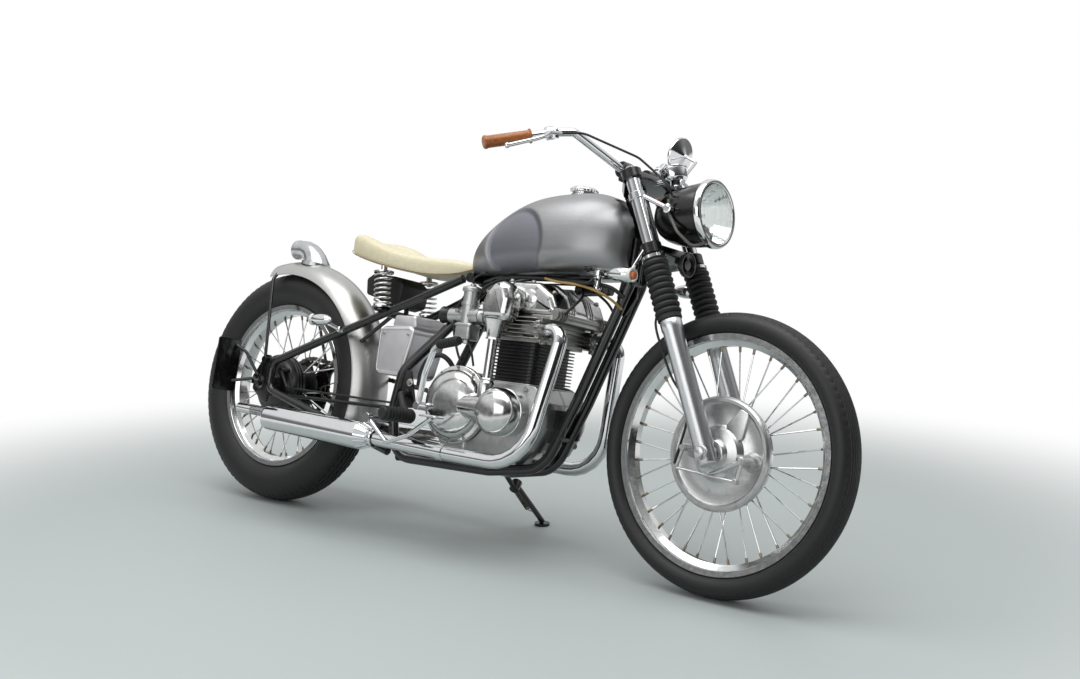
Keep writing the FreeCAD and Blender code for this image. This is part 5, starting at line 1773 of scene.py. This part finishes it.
def drawFrontBrake(bm):
    # a twin-cam back plate: raised rim, ribbed boss and two levers joined by a rod
    rim = 137
    outline = [(9.2, 0), (rim, 0), (rim, 7), (rim - 1, 9), (rim - 6, 14), (rim - 13, 14), (rim - 17, 8),
               (rim - 20, 7), (70, 7), (67, 9), (58, 23), (54, 24), (36, 28), (30, 39), (28, 40), (9.2, 40)]
    addRing(bm, outline, frontAxle - sideways * 26, sideways * -1, 96)
    links = ((-84, -45), (84, -57))
    for (x, z), (linkX, linkZ) in zip(((-70, 5), (93, -9)), links):
        foot = frontAxle + Vector((x, -26, z))
        head = frontAxle + Vector((x, -82, z))
        link = frontAxle + Vector((linkX, -82, linkZ))
        addCone(bm, foot, foot - sideways * 30, 26, 17)
        addRod(bm, foot, head - sideways * 6, 9)
        addRod(bm, head, link, 5.5)
        addBolt(bm, head - sideways * 6, sideways * -1, 11, 5)
        addRod(bm, link + sideways * 6.5, link - sideways * 8, 6.4)
        web = (frontAxle + Vector((0, -26, 0)) - foot).normalized()
        addRod(bm, foot - sideways * 9, foot - sideways * 9 + web * 60, 9)
    addRod(bm, frontAxle + Vector((links[0][0], -86, links[0][1])),
           frontAxle + Vector((links[1][0], -86, links[1][1])), 3.2)
    arm = frontAxle + Vector((93, -82, -9))
    addRod(bm, arm, arm + Vector((-82, 3, -41)), 5.5)
    addPlate(bm, sideOf(frontAxle), [(20, 20), (62, 40), (74, 100), (50, 112), (16, 70)], -42, 12, 8, 2)


def drawCables(bm):
    brake = [barPoint(-64, -256, 50), barPoint(-30, -200, 63), barPoint(75, -100, 21),
             barPoint(112, -78, -10), barPoint(158, -74, -46), barPoint(166, -50, -85)]
    addPipe(bm, brake, 3, 60, 60, 60, 14, segments=12)
    loom = [fork(626, -84, 136), fork(592, -80, 124), fork(540, -80, 132), fork(497, -56, 148),
            fork(500, -24, 190), fork(552, -12, 172)]
    addPipe(bm, loom, 4, 16, 30, 20, 16, segments=12)


amberPlastic = newMaterial("moulded amber plastic", {
    "colour": "#d0662b", "tint": "#c65c24", "metallic": 0.0, "roughness": (0.15, 0.25),
    "grainMm": 6, "reliefMm": 0.01})


def makeIndicatorLenses():
    frontTails = [fork(460, 146 * side, 22) for side in sides]
    pairs = [("front", frontTails, ahead, 17, onFork, "steering_assembly"),
             ("rear", rearTails, ahead * -1, 14.5, onChassis, "chassis")]
    for name, tails, way, radius, place, body in pairs:
        lens, amber = bmesh.new(), bmesh.new()
        for tail in tails:
            dome = [(0, 7), (radius * 0.4, 6.4), (radius * 0.7, 4.6), (radius * 0.92, 2), (radius, -1),
                    (0, -1)]
            addLathe(lens, dome, tail, way, 14)
            addLathe(amber, [(0, 4.6), (radius * 0.3, 4), (radius * 0.46, 1), (radius * 0.46, -2), (0, -2)],
                     tail, way, 24)
        makePiece(name + "_indicator_lenses", lens, place, body, glass, (), 20)
        makePiece(name + "_indicator_bulbs", amber, place, body, amberPlastic)


details = {
    "front_wheel": drawFrontWheel, "rear_wheel": drawRearWheel, "frame": drawFrame,
    "hardtail": drawHardtail, "electrics_tray": drawTray, "side_box": drawSideBox,
    "rear_fender": drawFender, "fender_stays": drawStays, "tail_lamp": drawTailLamp,
    "rear_indicators": drawRearIndicators, "crankcase": drawCrankcase, "cylinder_block": drawBlock,
    "cylinder_head": drawHead, "rocker_cover": drawRockerCover, "bevel_tower": drawBevelTower,
    "engine_covers": drawCovers, "carburettors": drawCarburettors, "exhaust_pipes": drawExhaust,
    "mufflers": drawMufflers, "footpegs": drawPegs, "foot_levers": drawLevers, "drive_chain": drawChain,
    "rear_brake_plate": drawRearBrake, "fork_yokes": drawYokes, "fork_tubes": drawForkTubes,
    "fork_gaiters": drawGaiters, "fork_sliders": drawSliders, "handlebar": drawBar, "grips": drawGrips,
    "control_levers": drawHandLevers, "headlamp_shell": drawLampShell, "mirror": drawMirror,
    "speedometer": drawDialShell, "front_indicators": drawFrontIndicators,
    "front_brake_plate": drawFrontBrake, "control_cables": drawCables,
}
for node, draw in details.items():
    drawInPlaceOf(node, draw)
makeIndicatorLenses()
print("pieces drawn:", len(details))


# Screws and bolts, each seated on what it holds
fasteners = bmesh.new()
steeredFasteners = bmesh.new()


def ringOfScrews(bm, centre, axis, radius, angles, head):
    for angle in angles:
        a = math.radians(angle)
        addScrew(bm, centre + ahead * (radius * math.cos(a)) + upward * (radius * math.sin(a)), axis, head)


covers = {"rightFace": -118, "rightRadius": 99.5, "leftFace": 114, "leftRadius": 86.5, "screwHead": 4.6,
          "rightAngles": (20, 58, 92, 126, 160, 196, 232, 268, 300),
          "leftAngles": (10, 50, 90, 130, 170, 210, 250, 290, 330)}
ringOfScrews(fasteners, at(-180, covers["rightFace"], 4), sideways * -1, covers["rightRadius"],
             covers["rightAngles"], covers["screwHead"])
ringOfScrews(fasteners, at(0, covers["leftFace"], 0), sideways, covers["leftRadius"], covers["leftAngles"],
             covers["screwHead"])
for x, z in ((-262, -72), (-235, -94), (-165, -95), (-96, -94), (-96, 62), (-205, 66), (-262, 28)):
    addScrew(fasteners, at(x, 114, z), sideways, covers["screwHead"])
for x, z in ((-82, 246), (-84, 274), (-72, 306), (-38, 328), (-8, 300), (-6, 250)):
    addScrew(fasteners, at(x, -175.5, z), sideways * -1, 3.6)  # the bevel housing's cap
for x, y in ((-60, -96), (-60, 96), (84, -96), (84, 96), (12, -96), (12, 96)):
    addBolt(fasteners, at(x, y, 346 if x < 60 else 322), upward, 10, 7)
for side in sides:
    addBolt(fasteners, rear(0, 119 * side, 0) + sideways * (3 * side), sideways * side, 22, 11)
    addBolt(fasteners, at(-353, 116 * side, 46), sideways * side, 13, 8)
    for x, z in ((-50, 218), (20, 218)):
        addBolt(fasteners, at(x, 100 * side, z), sideways * side, 11, 7)
for x, z in ((475, 580), (568, 582)):
    addScrew(fasteners, Vector((x, -106, z - 38)), sideways * -1, 3.6)
for dy in (-166, -224):
    for dz in (-28, 106):
        addBolt(fasteners, rear(-79, dy, dz), ahead * -1, 8, 4)
for side in sides:
    place = fork(744, 92 * side, 57)
    addLathe(steeredFasteners, [(0, 0), (15, 0), (15, 3), (13, 5), (0, 5)], place, steerAxis, 32)
    addBolt(steeredFasteners, place + steerAxis * 5, steerAxis, 17, 6, False)
    addBolt(steeredFasteners, fork(-12, 92 * side, 57) + sideways * (22.5 * side), sideways * side, 9, 5)
    for rise in (-8, 8):
        addBolt(steeredFasteners, fork(772, 52 * side, 17.5) + ahead * 17 + sideways * rise,
                upward * 0.3 + ahead, 6, 5, False)
addBolt(steeredFasteners, fork(750, 0, 0), steerAxis, 24, 10)


boltSteel = newMaterial("zinc plated fasteners", {
    "colour": "#a7a59f", "tint": "#bab8b2", "metallic": 1.0, "roughness": (0.22, 0.38),
    "grainMm": 4, "reliefMm": 0.03,
    "stains": [stain(9, 0.5, 0.75, 0.5, "#6b6862", 0.5)]})
makePiece("frame_and_engine_fasteners", fasteners, onChassis, "chassis", boltSteel)
makePiece("fork_fasteners", steeredFasteners, onFork, "steering_assembly", boltSteel)
print("fasteners done")


# tan cotton braid: a matt, woven cover over its hose
braidedCotton = newMaterial("braided cotton cover", {
    "colour": "#b89a5e", "tint": "#8f7443", "metallic": 0.0, "roughness": (0.75, 0.9),
    "grainMm": 1.6, "reliefMm": 0.3})

# Hoses and leads, each from one fitting to the next; the paired ones are on both sides
pairedLeads = ("plug_lead", "slide_cable")
leads = [  # name, radius, points from the crank's centre
    ("plug_lead", 3.6, [(139, -112, 268), (150, -98, 290), (148, -60, 322), (120, -30, 348),
                        (80, -14, 366)]),
    ("fuel_hose", 4.4, [(200, -94, 366), (186, -104, 352), (120, -96, 356), (20, -84, 360), (-90, -80, 356),
                        (-160, -82, 330), (-178, -84, 300), (-186, -85, 280)]),
    ("slide_cable", 3.0, [(-201, -86, 328), (-202, -84, 350), (-180, -66, 366), (-100, -40, 372),
                          (20, -30, 374),
                          (110, -32, 380)]),
    ("left_choke_cable", 2.6, [(-186, 70, 318), (-160, 62, 345), (-90, 56, 362), (30, 48, 366),
                            (118, 34, 362)]),
    ("breather_hose", 7.0, [(-244, -60, 92), (-262, -72, 120), (-286, -84, 132), (-318, -92, 118),
                            (-336, -94, 84),
                            (-340, -94, 40)]),
    ("front_vent_hose", 3.4, [(-222, -92, 300), (-238, -98, 262), (-236, -100, 205), (-214, -100, 150),
                              (-196, -98, 118)]),
    ("float_drain_hose", 3.0, [(-190, -86, 208), (-184, -94, 180), (-160, -104, 152), (-148, -100, 112)]),
    ("main_loom", 5.0, [(-150, -30, 372), (-60, -62, 366), (60, -74, 362), (150, -70, 360), (226, -58, 352),
                        (262, -40, 330)]),
    ("cloth_covered_hose", 3.4, [(46, -94, 360), (92, -102, 352), (150, -102, 348), (196, -96, 340),
                            (238, -70, 322),
                                 (258, -36, 300)]),
]
brakeCable = [fork(392, -56, 21), fork(345, -88, 13), fork(280, -98, 17), fork(200, -96, 23),
              frontAxle + Vector((-62, -92, 90)), frontAxle + Vector((-84, -89, -36))]


def makeLead(name, place, body, radius, points):
    bm = bmesh.new()
    addTube(bm, smoothLine(points, 8), radius, 12)
    cover = braidedCotton if name == "cloth_covered_hose" else made["black_rubber"]
    makePiece(name, bm, place, body, cover)


for name, radius, points in leads:
    points = [at(*point) for point in points]
    if name in pairedLeads:
        makeLead("right_" + name, onChassis, "chassis", radius, points)
        makeLead("left_" + name, onChassis, "chassis", radius, toSide(points, -1))
    else:
        makeLead(name, onChassis, "chassis", radius, points)
makeLead("front_brake_cable", onFork, "steering_assembly", 3.0, brakeCable)


# Side stand's return spring, hooked between its leg and the lug beside its pivot
bm = bmesh.new()
standFoot = Vector((835, 283, 283 * math.tan(math.radians(stance["leanDeg"]))))
standWay = (standFoot - standPivot).normalized()
springSide = Vector((-1, 0, 0))
springTop = standPivot + standWay * 22 + springSide * 17
springLow = standPivot + standWay * 118 + springSide * 15
addTube(bm, helix(springTop, springLow, 6.5, 22, 14), 1.3, 6)
addTube(bm, smoothLine([springTop, springTop - standWay * 10, springTop - standWay * 14 - springSide * 8],
                       5), 1.4, 8)
addTube(bm, smoothLine([springLow, springLow + standWay * 8, springLow + standWay * 12 - springSide * 10],
                       5), 1.4, 8)
makePiece("stand_return_spring", bm, onChassis, "side_stand_leg", made["chain_steel"])
print("leads and spring done")


# Floor, light and background
stage = {"floorColour": "#a9b1b0", "clearFrom": 1.3, "clearTo": 2.8, "bright": 0.95, "dim": 0.1,
         "dimSide": (0.79, -0.55, -0.12), "dimFrom": -0.1, "dimTo": 0.85, "wallDim": 0.22,
         "wallLow": (-0.06, 0.02), "wallHigh": (0.2, 0.42), "overhead": 88, "side": 34}


def makeStage():
    bpy.ops.mesh.primitive_circle_add(vertices=96, radius=30, fill_type="NGON", location=(0, 0, 0))
    floor = bpy.context.object
    floor.name = "floor"
    material = bpy.data.materials.new("sealed studio floor")
    material.use_nodes = True
    tree = material.node_tree
    shader = tree.nodes["Principled BSDF"]
    shader.inputs["Base Color"].default_value = hexColour(stage["floorColour"])
    shader.inputs["Roughness"].default_value = 0.55
    coords = addNode(tree, "ShaderNodeTexCoord")
    reach = addNode(tree, "ShaderNodeVectorMath", {"operation": "LENGTH"}, [(coords, "Object")])
    levels = [(reach, "Value"), stage["clearFrom"], stage["clearTo"], 0, 1]
    fade = addNode(tree, "ShaderNodeMapRange", smoothStep, levels)
    path = addNode(tree, "ShaderNodeLightPath")
    rays = [(path, "Is Camera Ray"), (path, "Is Glossy Ray")]
    seen = addNode(tree, "ShaderNodeMath", {"operation": "MAXIMUM"}, rays)
    shown = addNode(tree, "ShaderNodeMath", {"operation": "MULTIPLY"}, [(seen, "Value"), (fade, "Result")])
    white = addNode(tree, "ShaderNodeEmission", {}, {"Color": hexColour("#ffffff"), "Strength": 1.0})
    both = addNode(tree, "ShaderNodeMixShader", {}, [(shown, "Value"), (shader, "BSDF"),
                            (white, "Emission")])
    tree.links.new(both.outputs["Shader"], tree.nodes["Material Output"].inputs["Surface"])
    floor.data.materials.append(material)


def areaLight(name, place, aim, size, sizeY, power):
    light = bpy.data.lights.new(name, "AREA")
    light.shape = "RECTANGLE"
    light.size = size
    light.size_y = sizeY
    light.energy = power
    item = bpy.data.objects.new(name, light)
    bpy.context.scene.collection.objects.link(item)
    item.location = place
    item.rotation_euler = (Vector(aim) - Vector(place)).to_track_quat("-Z", "Y").to_euler()


def makeLight():
    world = bpy.data.worlds.new("studio")
    world.use_nodes = True
    tree = world.node_tree
    back = tree.nodes["Background"]
    back.inputs["Color"].default_value = hexColour("#ffffff")
    path = addNode(tree, "ShaderNodeLightPath")
    rays = [(path, "Is Camera Ray"), (path, "Is Transmission Ray")]
    seen = addNode(tree, "ShaderNodeMath", {"operation": "MAXIMUM"}, rays)
    coords = addNode(tree, "ShaderNodeTexCoord")
    dimWay = Vector(stage["dimSide"]).normalized()
    facing = addNode(tree, "ShaderNodeVectorMath", {"operation": "DOT_PRODUCT"},
                     [(coords, "Generated"), dimWay])
    levels = [(facing, "Value"), stage["dimFrom"], stage["dimTo"], stage["bright"], stage["dim"]]
    room = addNode(tree, "ShaderNodeMapRange", smoothStep, levels)
    height = addNode(tree, "ShaderNodeVectorMath", {"operation": "DOT_PRODUCT"},
                     [(coords, "Generated"), upward])
    low = [(height, "Value"), *stage["wallLow"], 1.0, stage["wallDim"]]
    foot = addNode(tree, "ShaderNodeMapRange", smoothStep, low)
    high = [(height, "Value"), *stage["wallHigh"], 0.0, 1.0]
    head = addNode(tree, "ShaderNodeMapRange", smoothStep, high)
    walls = addNode(tree, "ShaderNodeMix", {"data_type": "FLOAT"},
                    {0: (head, "Result"), 2: (foot, "Result"), 3: 1.0})
    shade = addNode(tree, "ShaderNodeMath", {"operation": "MULTIPLY"}, [(room, "Result"), (walls, 0)])
    strength = addNode(tree, "ShaderNodeMix", {"data_type": "FLOAT"},
                       {0: (seen, "Value"), 2: (shade, "Value"), 3: 1.0})
    feed(tree, back.inputs["Strength"], (strength, 0))
    bpy.context.scene.world = world
    areaLight("overheadPanel", (0.3, -0.5, 3.4), (0.1, 0, 0.4), 4.0, 2.4, stage["overhead"])
    areaLight("sidePanel", (0.6, -3.6, 1.7), (0.1, 0, 0.5), 3.2, 1.8, stage["side"])


makeStage()
makeLight()
bpy.context.scene.view_settings.view_transform = "Standard"
print("stage and light set")
